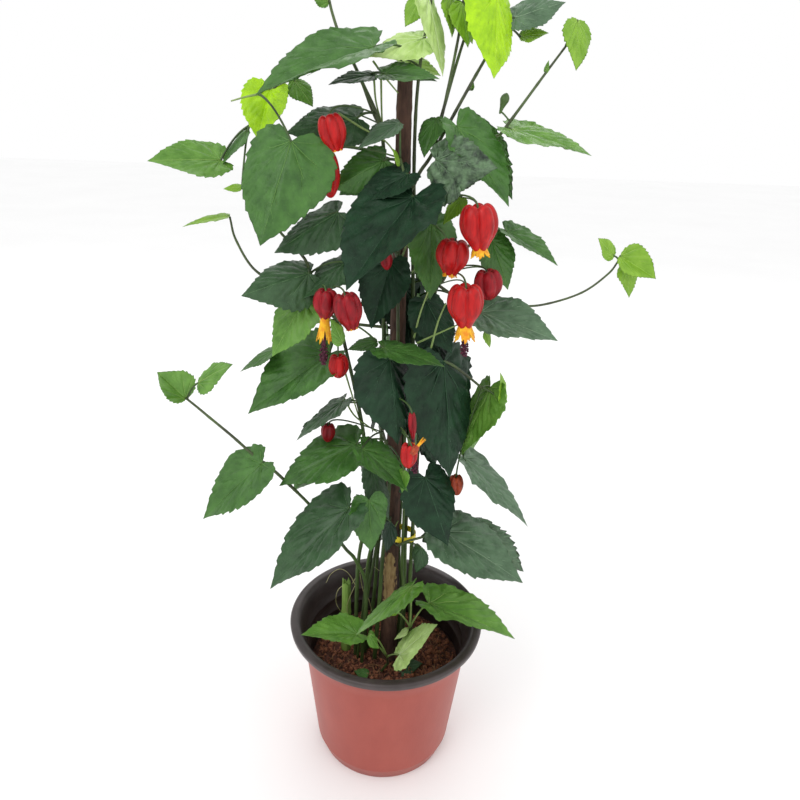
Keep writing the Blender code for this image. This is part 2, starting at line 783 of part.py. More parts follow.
def united(name, pieces, helpers, collection):
    """One closed body from overlapping pieces. A sealed hollow is filled and a loose scrap is dropped."""
    first = pieces[0]
    helpers.objects.unlink(first)
    collection.objects.link(first)
    union = first.modifiers.new("Union", "BOOLEAN")
    union.operation = "UNION"
    union.operand_type = "COLLECTION"
    union.collection = helpers
    union.solver = "MANIFOLD"
    bpy.context.view_layer.update()
    evaluated = first.evaluated_get(bpy.context.evaluated_depsgraph_get())
    mesh = bpy.data.meshes.new_from_object(evaluated)
    mesh.name = name
    for piece in pieces:
        bpy.data.objects.remove(piece)
    shape = bmesh.new()
    shape.from_mesh(mesh)
    bmesh.ops.triangulate(shape, faces=shape.faces)
    keep_largest(shape)
    shape.to_mesh(mesh)
    shape.free()
    return add_object(name, mesh, collection)


def keep_largest(shape):
    """Leaves only the body with the most faces, so that a sealed hollow is filled and a scrap is dropped."""
    left = set(shape.faces)
    bodies = []
    while left:
        body = [left.pop()]
        for face in body:
            for edge in face.edges:
                for beside in edge.link_faces:
                    if len(edge.link_faces) == 2 and beside in left:
                        left.remove(beside)
                        body.append(beside)
        bodies.append(body)
    bodies.sort(key=len)
    for body in bodies[:-1]:
        bmesh.ops.delete(shape, geom=body, context="FACES")


def shoot_start(root, first, behind):
    """Where a shoot's stem starts: just past its thin stem's tip, or just off the trunk."""
    if root != "trunk" and not behind:
        points, _ = stem_path(root)
        direction = (points[-1] - points[-2]).normalized()
        return points[-1] + direction * GAP, direction
    share = (first.z - TRUNK_FOOT.z) / (TRUNK_TOP.z - TRUNK_FOOT.z)
    axis = trunk_point(min(share, TRUNK_TOP_SHARE))
    outward = Vector((0, 1, 0)) if behind else Vector((first.x - axis.x, first.y - axis.y, 0)).normalized()
    return axis + outward * (trunk_radius(share) + 2 * GAP), outward


def build_shoot(name, shoot, collection, helpers, colour, behind=False):
    first = place(*shoot["stem"][0])
    start, direction = shoot_start(shoot["root"], first, behind)
    lead = BACK_START if behind else MM
    board = [place(*point) for point in shoot["stem"]]
    stem = [start, start + direction * lead, *board]
    twigs = [[place(*point) for point in twig] for twig in shoot["twigs"]]
    paths = [stem[ROOT_CLEAR:], *twigs]
    pieces = [rod(name + "_stem", stem, taper(len(stem), *STEM_RADII), helpers)]
    for twig in twigs:
        pieces.append(rod(name + "_twig", twig, taper(len(twig), *TWIG_RADII), helpers))
    chance = random.Random(f"{BACK_SEED} {name}")
    for number, row in enumerate(shoot["leaves"]):
        label = f"{name}_leaf_{number}"
        scale = chance.uniform(*BACK_SCALE) if behind else 1.0
        leaf, joint, along = blade(label, row, helpers, scale, behind)
        root = nearest_root(joint, paths)
        path = hanging_path(root, joint, joint + along * PETIOLE_SUNK, PETIOLE_RISE)
        pieces += [leaf, rod(label + "_petiole", path, PETIOLE_RADII, helpers)]
    for number, row in enumerate(shoot["flowers"]):
        scale = BACK_SCALE[1] if behind else 1.0
        pieces += flower(f"{name}_flower_{number}", row, paths, helpers, scale)
    mass = united(name, pieces, helpers, collection)
    mass.data.materials.clear()
    mass.data.materials.append(colour)


def back_shoot(shoot, further, chance):
    """The shoot's partner behind the trunk: what is near the trunk, with each blade swung a little."""

    def back_depth(depth):
        return BACK_DEPTH + further + BACK_STRETCH * abs(depth)

    def behind(path):
        return tuple((x, y, back_depth(depth)) for x, y, depth in path)

    leaves = []
    for x1, y1, x2, y2, depth1, depth2, clockwise, other in shoot["leaves"]:
        if abs((x1 + x2) / 2 - BOARD_CENTRE[0]) > BACK_REACH or math.hypot(x2 - x1, y2 - y1) < BACK_LEAF:
            continue
        swing = chance.uniform(-BACK_SWING, BACK_SWING)
        dx = (x2 - x1) * math.cos(swing) - (y2 - y1) * math.sin(swing)
        dy = (x2 - x1) * math.sin(swing) + (y2 - y1) * math.cos(swing)
        depths = (back_depth(depth1), back_depth(depth2))
        leaves.append((x1, y1, x1 + dx, y1 + dy, *depths, clockwise, other))
    flowers = []
    for x1, y1, x2, y2, depth, wide, petals in shoot["flowers"]:
        if abs(x1 - BOARD_CENTRE[0]) < BACK_REACH and wide > BACK_FLOWER:
            flowers.append((x1, y1, x2, y2, back_depth(depth), wide, petals))
    twigs = tuple(behind(twig) for twig in shoot["twigs"] if abs(twig[-1][0] - BOARD_CENTRE[0]) < BACK_REACH)
    stem = behind(shoot["stem"])
    return {"root": "trunk", "stem": stem, "twigs": twigs, "leaves": leaves, "flowers": flowers}


def main():
    for obj in list(bpy.data.objects):
        bpy.data.objects.remove(obj)
    scene = bpy.context.scene.collection
    collections = {}
    for name in ("potted_abutilon", "cutters", "helpers"):
        collections[name] = bpy.data.collections.new(name)
        scene.children.link(collections[name])
    plant = collections["potted_abutilon"]
    helpers = collections["helpers"]
    build_pot(plant, collections["cutters"])
    build_soil(plant)
    build_trunk(plant)
    build_stems(plant)
    build_cane(plant)
    build_tie(plant)
    green = material("leaf_green", (0.07, 0.20, 0.05), 0.5)
    for name, shoot in SHOOTS.items():
        build_shoot(name, shoot, plant, helpers, green)
    chance = random.Random(BACK_SEED)
    for name, further in BACK_SHOOTS.items():
        partner = back_shoot(SHOOTS[name], further, chance)
        build_shoot(name.replace("foliage", "foliage_back"), partner, plant, helpers, green, behind=True)
    bpy.data.collections.remove(helpers)


main()
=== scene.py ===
import math
import random

import bpy
import numpy as np
from mathutils import Matrix


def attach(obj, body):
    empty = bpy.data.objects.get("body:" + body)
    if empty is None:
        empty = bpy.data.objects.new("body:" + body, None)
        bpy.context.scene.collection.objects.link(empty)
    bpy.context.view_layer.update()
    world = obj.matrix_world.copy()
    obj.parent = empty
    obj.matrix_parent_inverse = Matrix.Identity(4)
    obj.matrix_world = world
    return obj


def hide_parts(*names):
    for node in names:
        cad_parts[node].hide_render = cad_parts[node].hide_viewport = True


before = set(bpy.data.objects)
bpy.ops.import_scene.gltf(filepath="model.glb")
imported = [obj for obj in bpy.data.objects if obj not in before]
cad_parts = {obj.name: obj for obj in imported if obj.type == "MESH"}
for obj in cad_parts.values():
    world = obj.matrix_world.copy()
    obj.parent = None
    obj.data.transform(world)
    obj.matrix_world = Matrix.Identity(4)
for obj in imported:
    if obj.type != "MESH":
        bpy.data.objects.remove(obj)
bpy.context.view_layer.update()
mm = 0.001
print("frame loaded")

# The plant is laid out on a drawing board that the viewer looks straight at. A place on it is in mm
# from its top left corner, x to the right and y down, and its depth is in mm behind the trunk's axis.
viewer = {
    "eye": (-3.4, -485.0, 528.0),  # mm
    "boardAway": 700.0,
    "boardSize": 800.0,
    "boardCentre": (400.0, 380.0),
    "down": 21.2,  # degrees
    "aside": 0.9,
    "tilt": 2.14,
    "sensor": 36.0,
}
eye = np.array(viewer["eye"]) * mm


def unit(vectors):
    # each vector over its own length
    return vectors / np.maximum(np.linalg.norm(vectors, axis=-1, keepdims=True), 1e-12)


def sightAxes():
    # forward from the two angles, right and up turned about it by the tilt of the head
    down, aside, tilt = (math.radians(viewer[key]) for key in ("down", "aside", "tilt"))
    level = math.cos(down)
    forward = np.array((math.sin(aside) * level, math.cos(aside) * level, -math.sin(down)))
    flat = np.array((math.cos(aside), -math.sin(aside), 0.0))
    upright = np.cross(flat, forward)
    right = flat * math.cos(tilt) + upright * math.sin(tilt)
    return forward, right, upright * math.cos(tilt) - flat * math.sin(tilt)


forward, rightward, upward = sightAxes()


def place(x, y, depth):
    # from the eye along the sight line through the board's place, to the plane at that depth
    x0, y0 = viewer["boardCentre"]
    sight = forward * viewer["boardAway"] + rightward * (x - x0) + upward * (y0 - y)
    return eye + sight * ((depth * mm - eye[1]) / sight[1])


def realSize(boardSize, point):
    # a board length seen at a point grows with its distance along the view
    return boardSize * float((point - eye) @ forward) / viewer["boardAway"]


def linked(name, data, axes=None, where=(0, 0, 0)):
    # an object in the scene, at the origin or with its own right, up and back axes at a place
    made = bpy.data.objects.new(name, data)
    bpy.context.scene.collection.objects.link(made)
    if axes is not None:
        pose = np.eye(4)
        pose[:3, :3], pose[:3, 3] = np.transpose(axes), where
        made.matrix_world = Matrix(pose.tolist())
    return made


cameraData = bpy.data.cameras.new("viewpoint")
cameraData.sensor_width = viewer["sensor"]
cameraData.lens = viewer["boardAway"] / viewer["boardSize"] * viewer["sensor"]
cameraData.shift_y = (viewer["boardCentre"][1] - viewer["boardSize"] / 2) / viewer["boardSize"]
cameraData.clip_start = 0.01
bpy.context.scene.camera = linked("viewpoint", cameraData, (rightward, upward, -forward), eye)
print("camera set")


def linear(hexColour):
    # sRGB hex to linear: (c / 12.92) below 0.04045, else ((c + 0.055) / 1.055) to the power 2.4
    srgb = [int(hexColour[i:i + 2], 16) / 255 for i in (1, 3, 5)]
    return (*(c / 12.92 if c <= 0.04045 else ((c + 0.055) / 1.055) ** 2.4 for c in srgb), 1.0)


def addNode(tree, kind, settings=(), inputs=(), links=()):
    # one node with its settings, the values of its sockets and its incoming links
    node = tree.nodes.new(kind)
    for key, value in dict(settings).items():
        setattr(node, key, value)
    for key, value in dict(inputs).items():
        node.inputs[key].default_value = value
    for key, socket in dict(links).items():
        tree.links.new(socket, node.inputs[key])
    return node


def mottled(name, dark, light, patch, grain, bump, roughness, along=1.0, ior=1.45):
    # a Principled surface: two colours mixed by noise in Object coordinates, and a fine bump
    made = bpy.data.materials.new(name)
    made.use_nodes = True
    tree = made.node_tree
    shader = tree.nodes["Principled BSDF"]
    where = addNode(tree, "ShaderNodeTexCoord").outputs["Object"]
    stretch = addNode(tree, "ShaderNodeMapping", inputs={"Scale": (1, 1, along)},
                      links={"Vector": where}).outputs["Vector"]
    patches = addNode(tree, "ShaderNodeTexNoise", inputs={"Scale": 1000 / patch, "Detail": 4.0, "Roughness": 0.6},
                      links={"Vector": stretch})
    ramp = addNode(tree, "ShaderNodeValToRGB", links={"Fac": patches.outputs["Fac"]})
    for stop, position, colour in zip(ramp.color_ramp.elements, (0.3, 0.7), (dark, light)):
        stop.position, stop.color = position, linear(colour)
    tree.links.new(ramp.outputs["Color"], shader.inputs["Base Color"])
    grains = addNode(tree, "ShaderNodeTexNoise", inputs={"Scale": 1000 / grain, "Detail": 3.0, "Roughness": 0.65},
                     links={"Vector": stretch})
    raised = addNode(tree, "ShaderNodeBump", inputs={"Strength": bump, "Distance": grain * mm / 3},
                     links={"Height": grains.outputs["Fac"]})
    tree.links.new(raised.outputs["Normal"], shader.inputs["Normal"])
    shader.inputs["Roughness"].default_value = roughness
    shader.inputs["IOR"].default_value = ior
    return made


# Each finish: its dark and its light colour, the size of the patches and of the grain in mm, the bump,
# the roughness, the pattern's scale along Z (below 1 draws it out lengthwise) and the IOR.
finishes = {
    # Young wood keeps a green rind that browns in the light, with fine long ridges.
    "green_rind": ("#2f3b20", "#4f6a30", 14.0, 1.5, 0.4, 0.55, 0.2),
    "brown_green_rind": ("#37392a", "#566a3c", 18.0, 1.5, 0.3, 0.55),
    "leaf_stalk_rind": ("#2f3d22", "#53703a", 25.0, 1.2, 0.2, 0.5),
    "young_stalk_rind": ("#6f8a45", "#93a968", 14.0, 1.2, 0.2, 0.5),
    # Old bark is dull cork with lengthwise fissures; a torn patch at its foot bares the tan wood.
    "cork_bark": ("#32231d", "#6a4c3e", 5.0, 1.6, 0.7, 0.85, 0.22),
    "bared_wood": ("#6a4f31", "#c2a673", 4.0, 1.3, 0.7, 0.8, 0.22),
    # A calyx is papery and inflated, in lengthwise streaks: satin, with few sharp highlights.
    "papery_calyx": ("#8c060d", "#c81414", 2.6, 1.1, 0.25, 0.42, 0.16, 1.38),
    "crimson_calyx": ("#6d0612", "#ab1020", 2.6, 1.1, 0.25, 0.45, 0.16, 1.38),
    "browning_calyx": ("#7c2416", "#b34a22", 4.0, 1.4, 0.3, 0.5),
    "silky_petal": ("#e28408", "#f6c61c", 3.0, 1.0, 0.15, 0.45),
    "velvet_stamens": ("#3a1426", "#5c2236", 2.0, 0.8, 0.5, 0.75),
    # The pot is thin injection-moulded polypropylene in two colours: terracotta outside, black-brown within
    # and over the rolled rim. It has a satin skin with faint flow marks round the wall.
    "terracotta_polypropylene": ("#984035", "#a2493c", 20.0, 1.6, 0.14, 0.42, 0.5, 1.49),
    "black_brown_polypropylene": ("#322928", "#453b3a", 16.0, 1.6, 0.15, 0.42, 1.0, 1.49),
    # Peat and bark crumbs, dull and dark, with redder fibres.
    "peat": ("#33201d", "#7c4c3c", 3.0, 1.5, 0.9, 0.95),
    "peat_crumbs": ("#553026", "#bb7a5a", 2.5, 1.2, 0.8, 0.95),
    "peat_fibre": ("#6b4230", "#b98b64", 3.0, 0.8, 0.4, 0.9),
    # Cut cane is woody and matt, dry bast has a faint lustre, and calendered vinyl is flat and satin.
    "cut_green_cane": ("#6f9440", "#93b458", 9.0, 1.6, 0.35, 0.6, 0.25),
    "dry_bast_thread": ("#8d8a58", "#bdb888", 3.0, 0.8, 0.2, 0.7),
    # the tie's yellow is near its lightest, partly its own bright yellow and partly painted light for a band that
    # sits in shade
    "yellow_vinyl_tie": ("#ffdc14", "#fff03c", 6.0, 1.0, 0.1, 0.4),
    "pale_card": ("#fafafa", "#fdfdfd", 400.0, 4.0, 0.02, 0.9),
}
# Leaf skin is a waxed cuticle, puckered between veinlets about 2 mm apart: soft highlights. Each tone has the
# blade's two mottled greens, then its veins' green. The shade tone is painted shade: darker greens, and a duller
# skin with a lower IOR for a weaker reflection, on leaves that sit in the crown's shade.
leafTones = {
    # lime: the young leaves' own yellow-green, brightened further as a painted glow of light through the blade
    "lime": ("#8abb00", "#b2e400", "#bce236"),
    "spring": ("#6c9a1e", "#8bb736", "#a5ca60"),
    "fresh": ("#4a7a22", "#6b9b3c", "#8bb05a"),
    "mid": ("#2f591d", "#497830", "#5f8a42"),
    "deep": ("#284626", "#3f623c", "#587a50"),
    # shade: painted shade, darker greens for leaves deep in the crown's shade
    "shade": ("#0f2617", "#1e3f27", "#2f5237"),
    "grey": ("#405c40", "#5d7c5c", "#829c7e"),
    # crinkled: the leaf's own dark green, deepened as painted shade in its creases, mottled in small patches with
    # grey-green as painted highlights on its puckers
    "crinkled": ("#0e2213", "#66845f", "#718e6c"),
    # pale: the pale undersides' own green, lightened further as painted light on blades seen edge-on in shadow
    "pale": ("#a2c464", "#cfe99a", "#dceeb8"),
}
for tone, (dark, light, vein) in leafTones.items():
    # the crinkled tone's small patches carry its painted highlights and painted shade
    patchSize = 5.0 if tone == "crinkled" else 11.0
    # painted shade: the shade tone's rougher skin and lower IOR weaken its reflection in place of the shade
    skin = (0.5, 1.0, 1.32) if tone == "shade" else (0.42, 1.0, 1.45)  # roughness, Z, IOR
    finishes["leaf_cuticle_" + tone] = (dark, light, patchSize, 2.2, 0.5, *skin)
    finishes["leaf_vein_" + tone] = (vein, vein, 9.0, 1.2, 0.15, 0.5)
materials = {name: mottled(name, *look) for name, look in finishes.items()}
print("finishes made")


def smoothPath(points, steps):
    # Catmull-Rom: a cubic of the share between each two points, from them and their neighbours
    points = np.asarray(points, float)
    ends = np.vstack([2 * points[0] - points[1], points, 2 * points[-1] - points[-2]])
    before, start, end, after = (ends[i:len(ends) - 3 + i, None] for i in range(4))
    t = (np.arange(steps) / steps)[None, :, None]
    bend = (2 * before - 5 * start + 4 * end - after) * t ** 2
    twist = (3 * start - before - 3 * end + after) * t ** 3
    curve = (2 * start + (end - before) * t + bend + twist) / 2
    return np.vstack([curve.reshape(-1, points.shape[1]), points[-1:]])


def evenPath(points, count):
    # the same line with points at even lengths along it
    points = np.asarray(points, float)
    way = np.concatenate([[0], np.cumsum(np.linalg.norm(np.diff(points, axis=0), axis=1))])
    stops = np.linspace(0, way[-1], count)
    return np.stack([np.interp(stops, way, points[:, i]) for i in range(points.shape[1])], axis=1)


def gridFaces(rows, columns, wrap):
    # quads between neighbouring rows and columns of points numbered row by row
    row, column = np.meshgrid(np.arange(rows - 1), np.arange(columns if wrap else columns - 1), indexing="ij")
    beside = (column + 1) % columns
    quads = [row * columns + column, row * columns + beside, (row + 1) * columns + beside,
             (row + 1) * columns + column]
    return np.stack(quads, axis=-1).reshape(-1, 4)


def capFans(rows, columns, first, last):
    # triangles from a pole to the first ring and from the last ring to the other pole
    side = np.arange(columns)
    beside = (side + 1) % columns
    end = (rows - 1) * columns
    low = np.stack([np.full(columns, first), beside, side], axis=1)
    high = np.stack([np.full(columns, last), end + side, end + beside], axis=1)
    return np.vstack([low, high])


def closedRings(points, sides, first, last):
    # rings of points with a pole at each end, their quads and the fans that close them
    count, rows = len(points), len(points) // sides
    fans = capFans(rows, sides, count, count + 1)
    return np.vstack([points, first, last]), gridFaces(rows, sides, True), fans


def tube(path, radii, sides, ripple=None):
    # ring k is path[k] + radius[k] * (cos turn * aside + sin turn * other), closed by a pole at each end
    path = np.asarray(path, float)
    radii = np.broadcast_to(np.asarray(radii, float), (len(path),))
    along = unit(np.gradient(path, axis=0))
    fixed = np.eye(3)[np.argmin(np.abs(along.mean(axis=0)))]
    aside = unit(np.cross(along, fixed))
    other = np.cross(along, aside)
    turn = np.arange(sides) / sides * math.tau
    wide = radii[:, None] * (np.ones((1, sides)) if ripple is None else ripple(turn))
    ring = aside[:, None] * np.cos(turn)[None, :, None] + other[:, None] * np.sin(turn)[None, :, None]
    return closedRings((path[:, None] + ring * wide[:, :, None]).reshape(-1, 3), sides, path[0], path[-1])


def turned(profile, sides, shape=None):
    # a profile of (radius, height) swept round +Z; shape may move the points by turn and row
    profile = np.asarray(profile, float)
    turn = np.arange(sides) / sides * math.tau
    radius = np.repeat(profile[:, :1], sides, axis=1)
    height = np.repeat(profile[:, 1:], sides, axis=1)
    if shape is not None:
        radius, height = shape(radius, height, turn[None, :])
    return np.stack([radius * np.cos(turn), radius * np.sin(turn), height], axis=-1).reshape(-1, 3)


def ball(rings):
    # a unit ball of five sides, from (radius, height) rings between its two poles
    points, quads, fans = closedRings(turned(rings, 5), 5, (0, 0, 1.0), (0, 0, -1.0))
    return points, quads[:, ::-1], fans[:, ::-1]


def turnedFlat(x, y, angle):
    # x and y turned by an angle in their plane
    return x * np.cos(angle) - y * np.sin(angle), x * np.sin(angle) + y * np.cos(angle)


def waves(points, size, seed, count=14):
    # smooth noise, mostly from -1 to 1: the sum of sine waves in random directions, of about one size
    chance = np.random.RandomState(seed)
    heading = unit(chance.normal(size=(count, points.shape[-1])))
    pace = math.tau / size * chance.uniform(0.6, 1.6, count)
    phase = chance.uniform(0, math.tau, count)
    return np.sin(points @ (heading * pace[:, None]).T + phase).sum(axis=-1) / math.sqrt(count * 2)


class Heap:
    # meshes of one kind, gathered before they are made one object
    def __init__(self):
        self.points, self.quads, self.fans, self.quadLook, self.fanLook, self.count = [], [], [], [], [], 0

    def add(self, points, quads, fans, look=0):
        self.points.append(points)
        self.quads.append(np.asarray(quads, int).reshape(-1, 4) + self.count)
        self.fans.append(np.asarray(fans, int).reshape(-1, 3) + self.count)
        self.quadLook.append(np.full(len(self.quads[-1]), look))
        self.fanLook.append(np.full(len(self.fans[-1]), np.min(look)))
        self.count += len(points)

    def make(self, name, looks, slot, nodes=()):
        # one smooth mesh at the origin, riding on the frame and standing for its CAD nodes
        points = np.vstack(self.points)
        quads, fans = np.vstack(self.quads), np.vstack(self.fans)
        corners = np.concatenate([quads.ravel(), fans.ravel()])
        starts = np.concatenate([np.arange(len(quads)) * 4, len(quads) * 4 + np.arange(len(fans)) * 3])
        mesh = bpy.data.meshes.new(name)
        mesh.vertices.add(len(points))
        mesh.vertices.foreach_set("co", points.astype(np.float32).ravel())
        mesh.loops.add(len(corners))
        mesh.loops.foreach_set("vertex_index", corners.astype(np.int32))
        mesh.polygons.add(len(starts))
        mesh.polygons.foreach_set("loop_start", starts.astype(np.int32))
        mesh.polygons.foreach_set("use_smooth", np.ones(len(starts), bool))
        for look in looks:
            mesh.materials.append(materials[look])
        shown = np.concatenate([*self.quadLook, *self.fanLook])
        mesh.polygons.foreach_set("material_index", shown.astype(np.int32))
        mesh.update(calc_edges=True)
        mesh.validate()
        piece = linked(name, mesh)
        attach(piece, "root")
        if nodes:
            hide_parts(*nodes)
        print(name, len(quads) * 2 + len(fans), "triangles")
        return piece


def strands(name, look, slot, lines, ends, sides):
    # smoothed tubes along lines of board places, their radius in mm going evenly between the two ends
    made = Heap()
    for line in lines:
        path = smoothPath([place(*point) for point in line], 8)
        made.add(*tube(path, np.linspace(*ends, len(path)) * mm, sides))
    made.make(name, [look], slot)


# Pot: the wall tapers from the foot to the rolled rim, and the bottom has a ring of drain holes.
# Lengths are in mm; ringTops has the top and the end of each raised ring inside the wall.
pot = {
    "height": 126.0, "rim": 81.0, "wallTop": 71.6, "wallFoot": 58.5, "underside": 54.0, "wall": 1.8,
    "lip": 6.4, "foot": 11.0, "floor": 3.6, "holes": 6, "holeRadius": 5.0, "holeCircle": 36.0, "sides": 132,
    "soil": 78.0, "gap": 0.3, "ringTops": ((104.0, 101.6), (92.0, 89.8)), "floorLine": 13, "floorRings": 4,
}


def wallRadius(height, inset=0.0):
    # the wall's outer radius grows evenly from the foot to the top
    share = (height - pot["foot"]) / (pot["height"] - pot["foot"])
    return pot["wallFoot"] + (pot["wallTop"] - pot["wallFoot"]) * share - inset


def drainFloor(level, inner, upside):
    # a sixth of the floor round each hole: from the hole's edge out to the wall's own points on the arc
    # and to even points on the two lines to the pot's middle, by the share between
    arc, line, across = pot["sides"] // pot["holes"], pot["floorLine"], pot["floorRings"]
    sector = math.pi / pot["holes"]
    bearing = np.linspace(-sector, sector, arc + 1)
    ends = np.array((math.cos(sector), math.sin(sector)))
    shrink = np.arange(line - 1, -1, -1)[:, None] / line
    border = inner * np.vstack([np.stack([np.cos(bearing), np.sin(bearing)], axis=1), shrink * ends,
                                shrink[-2::-1] * ends * (1, -1)])
    turn = (np.arange(len(border)) - arc / 2) / len(border) * math.tau
    edge = np.stack([pot["holeCircle"] + pot["holeRadius"] * np.cos(turn), pot["holeRadius"] * np.sin(turn)], axis=1)
    x, y = np.moveaxis(edge + (border - edge) * np.linspace(0, 1, across)[:, None, None], -1, 0)
    quads = gridFaces(across, len(border), True)
    quads = quads[:, ::-1] if upside else quads
    for i in range(pot["holes"]):
        flat = np.stack([*turnedFlat(x, y, (2 * i + 1) * sector), np.full_like(x, level)], axis=-1)
        yield flat.reshape(-1, 3) * mm, quads


potHeap = Heap()
lipFoot = pot["height"] - pot["lip"]
outside = [
    (pot["underside"], 0.0), (pot["underside"] + 0.5, 0.35), (pot["wallFoot"] - 0.6, pot["foot"] - 1.2),
    (pot["wallFoot"], pot["foot"]), (wallRadius(pot["foot"] + 1), pot["foot"] + 1), (wallRadius(40), 40.0),
    (wallRadius(75), 75.0), (wallRadius(100), 100.0), (wallRadius(111.6), 111.6),
    (wallRadius(112.2) + 0.55, 112.2), (wallRadius(113.4) + 0.55, 113.4), (wallRadius(114), 114.0),
    (wallRadius(lipFoot - 0.9) + 0.8, lipFoot - 0.9),
]
top, rim, wall = pot["height"], pot["rim"], pot["wall"]
rolled = [
    (wallRadius(lipFoot - 0.9) + 0.8, lipFoot - 0.9), (wallRadius(lipFoot) + 2.4, lipFoot + 0.1),
    (rim - 2.1, lipFoot), (rim - 1.1, lipFoot + 0.5), (rim - 0.5, lipFoot + 1.5), (rim - 0.3, lipFoot + 3.4),
    (rim, top - 1.8), (rim - 0.5, top - 0.6), (rim - 1.7, top), (rim - 4.6, top), (rim - 6.4, top - 0.4),
    (rim - 7.8, top - 1.4), (rim - 9.4, top - 4.4), (wallRadius(114, wall) + 0.4, 114.0),
]
for ringTop, ringEnd in pot["ringTops"]:
    rolled += [(wallRadius(ringTop, wall), ringTop), (wallRadius(ringTop - 0.6, wall + 0.8), ringTop - 0.8),
               (wallRadius(ringTop - 1.4, wall + 0.8), ringTop - 1.6), (wallRadius(ringTop - 2, wall), ringEnd)]
rolled += [(wallRadius(60, wall), 60.0), (wallRadius(pot["foot"] + wall, wall), pot["foot"] + wall),
           (pot["underside"] - wall, pot["floor"])]
for profile, look in ((outside, 0), (rolled, 1)):
    rings = np.array(profile) * mm
    potHeap.add(turned(rings, pot["sides"]), gridFaces(len(rings), pot["sides"], True), [], look)
floors = zip(drainFloor(0.0, pot["underside"], False), drainFloor(pot["floor"], pot["underside"] - wall, True))
for (lower, lowerQuads), (upper, upperQuads) in floors:
    potHeap.add(lower, lowerQuads, [], 0)
    potHeap.add(upper, upperQuads, [], 1)
    around = len(lower) // pot["floorRings"]
    potHeap.add(np.vstack([upper[:around], lower[:around]]), gridFaces(2, around, True), [], 0)
potHeap.make("nursery_pot", ["terracotta_polypropylene", "black_brown_polypropylene"], "terracotta_plastic", ["pot"])

# Soil: the CAD's block, its top heaped and crumbly, with loose crumbs pressed into it
soil = {"sides": 120, "rings": 46, "relief": 1.9, "lump": 9.0, "fade": 3.0, "crumbs": 1500,
        "crumbSize": (0.7, 2.3), "seed": 5}
inset = pot["wall"] + pot["gap"]
soilEdge = wallRadius(pot["soil"], inset)


def soilTop(x, y):
    # coarse lumps and finer ones, which fade out at the wall
    flat = np.stack([x, y], axis=-1)
    rough = waves(flat, soil["lump"] * mm, soil["seed"]) + 0.5 * waves(flat, soil["lump"] * mm / 3, 8)
    fade = np.clip((soilEdge * mm - np.hypot(x, y)) / (soil["fade"] * mm), 0, 1)
    return (pot["soil"] + soil["relief"] * rough * fade) * mm


profile = [(r, pot["soil"]) for r in np.linspace(0, 1, soil["rings"])[1:] * soilEdge]
profile += [(wallRadius(45, inset), 45.0), (pot["wallFoot"] - inset, pot["foot"] + inset),
            (pot["underside"] - 2 * pot["wall"], pot["floor"] + pot["gap"])]
points = turned(np.array(profile) * mm, soil["sides"])
top = slice(0, (soil["rings"] - 1) * soil["sides"])
points[top, 2] = soilTop(points[top, 0], points[top, 1])
crown, base = (0, 0, soilTop(np.zeros(1), np.zeros(1))[0]), (0, 0, (pot["floor"] + pot["gap"]) * mm)
points, quads, fans = closedRings(points, soil["sides"], crown, base)
soilHeap = Heap()
soilHeap.add(points, quads[:, ::-1], fans[:, ::-1])
soilHeap.make("peat_soil", ["peat"], "potting_soil", ["soil"])

crumbHeap = Heap()
chance = np.random.RandomState(soil["seed"])
crumbBall, crumbQuads, crumbFans = ball(((0.72, 0.62), (1.0, 0.0), (0.74, -0.6)))
count = soil["crumbs"]
away = np.sqrt(chance.uniform(0, 1, count)) * (soilEdge - 3) * mm
bearing = chance.uniform(0, math.tau, count)
size = chance.uniform(*soil["crumbSize"], count) * mm
stretch = chance.uniform(0.55, 1.35, (count, 3))
jitter = chance.uniform(0.8, 1.2, (count, len(crumbBall), 1))
turn = chance.uniform(0, math.tau, count)[:, None]
x, y, z = np.moveaxis(crumbBall[None] * jitter * (size[:, None] * stretch)[:, None], -1, 0)
x, y = turnedFlat(x, y, turn)
middle = np.stack([away * np.cos(bearing), away * np.sin(bearing)], axis=-1)
ground = soilTop(middle[:, 0], middle[:, 1])[:, None] + 0.2 * size[:, None]
crumbs = np.stack([x + middle[:, :1], y + middle[:, 1:], z + ground], axis=-1)
for crumb in crumbs:
    crumbHeap.add(crumb, crumbQuads, crumbFans)
crumbHeap.make("peat_crumbs", ["peat_crumbs"], "potting_soil")

# Peat fibres: thin bent strands lying on the crumbs
fibre = {"count": 330, "length": (3.0, 11.0), "radius": (0.16, 0.42), "bend": 1.6, "lift": 1.3, "seed": 9}
fibreHeap = Heap()
chance = np.random.RandomState(fibre["seed"])
t = np.linspace(0, 1, 6)
for _ in range(fibre["count"]):
    away, turn = math.sqrt(chance.uniform(0.02, 0.86)) * soilEdge, chance.uniform(0, math.tau)
    long, heading = chance.uniform(*fibre["length"]), chance.uniform(0, math.tau)
    heading = heading + chance.uniform(-1, 1) * fibre["bend"] * t
    x = (away * math.cos(turn) + long * t * np.cos(heading)) * mm
    y = (away * math.sin(turn) + long * t * np.sin(heading)) * mm
    z = soilTop(x, y) + (0.5 + fibre["lift"] * chance.uniform(0, 1) * np.sin(np.pi * t)) * mm
    near = np.minimum(1, (soilEdge - 1.5) * mm / np.maximum(np.hypot(x, y), 1e-6))
    line = np.stack([x * near, y * near, z], axis=1)
    fibreHeap.add(*tube(line, chance.uniform(*fibre["radius"]) * mm, 4))
fibreHeap.make("peat_fibres", ["peat_fibre"], "potting_soil")
print("pot and soil made")

# Woody main stem: radius in mm by the share of its height
trunk = {
    "foot": (2.6, 3.0, 78.3), "top": (0.6, 0.0, 546.0), "topShare": 0.985, "sides": 56, "rows": 340,
    "radii": ((0.0, 8.6), (0.01, 7.6), (0.04, 6.5), (0.5, 5.7), (1.0, 4.9)), "ridge": 0.055, "seed": 3,
}
trunkFoot, trunkTop = np.array(trunk["foot"]) * mm, np.array(trunk["top"]) * mm


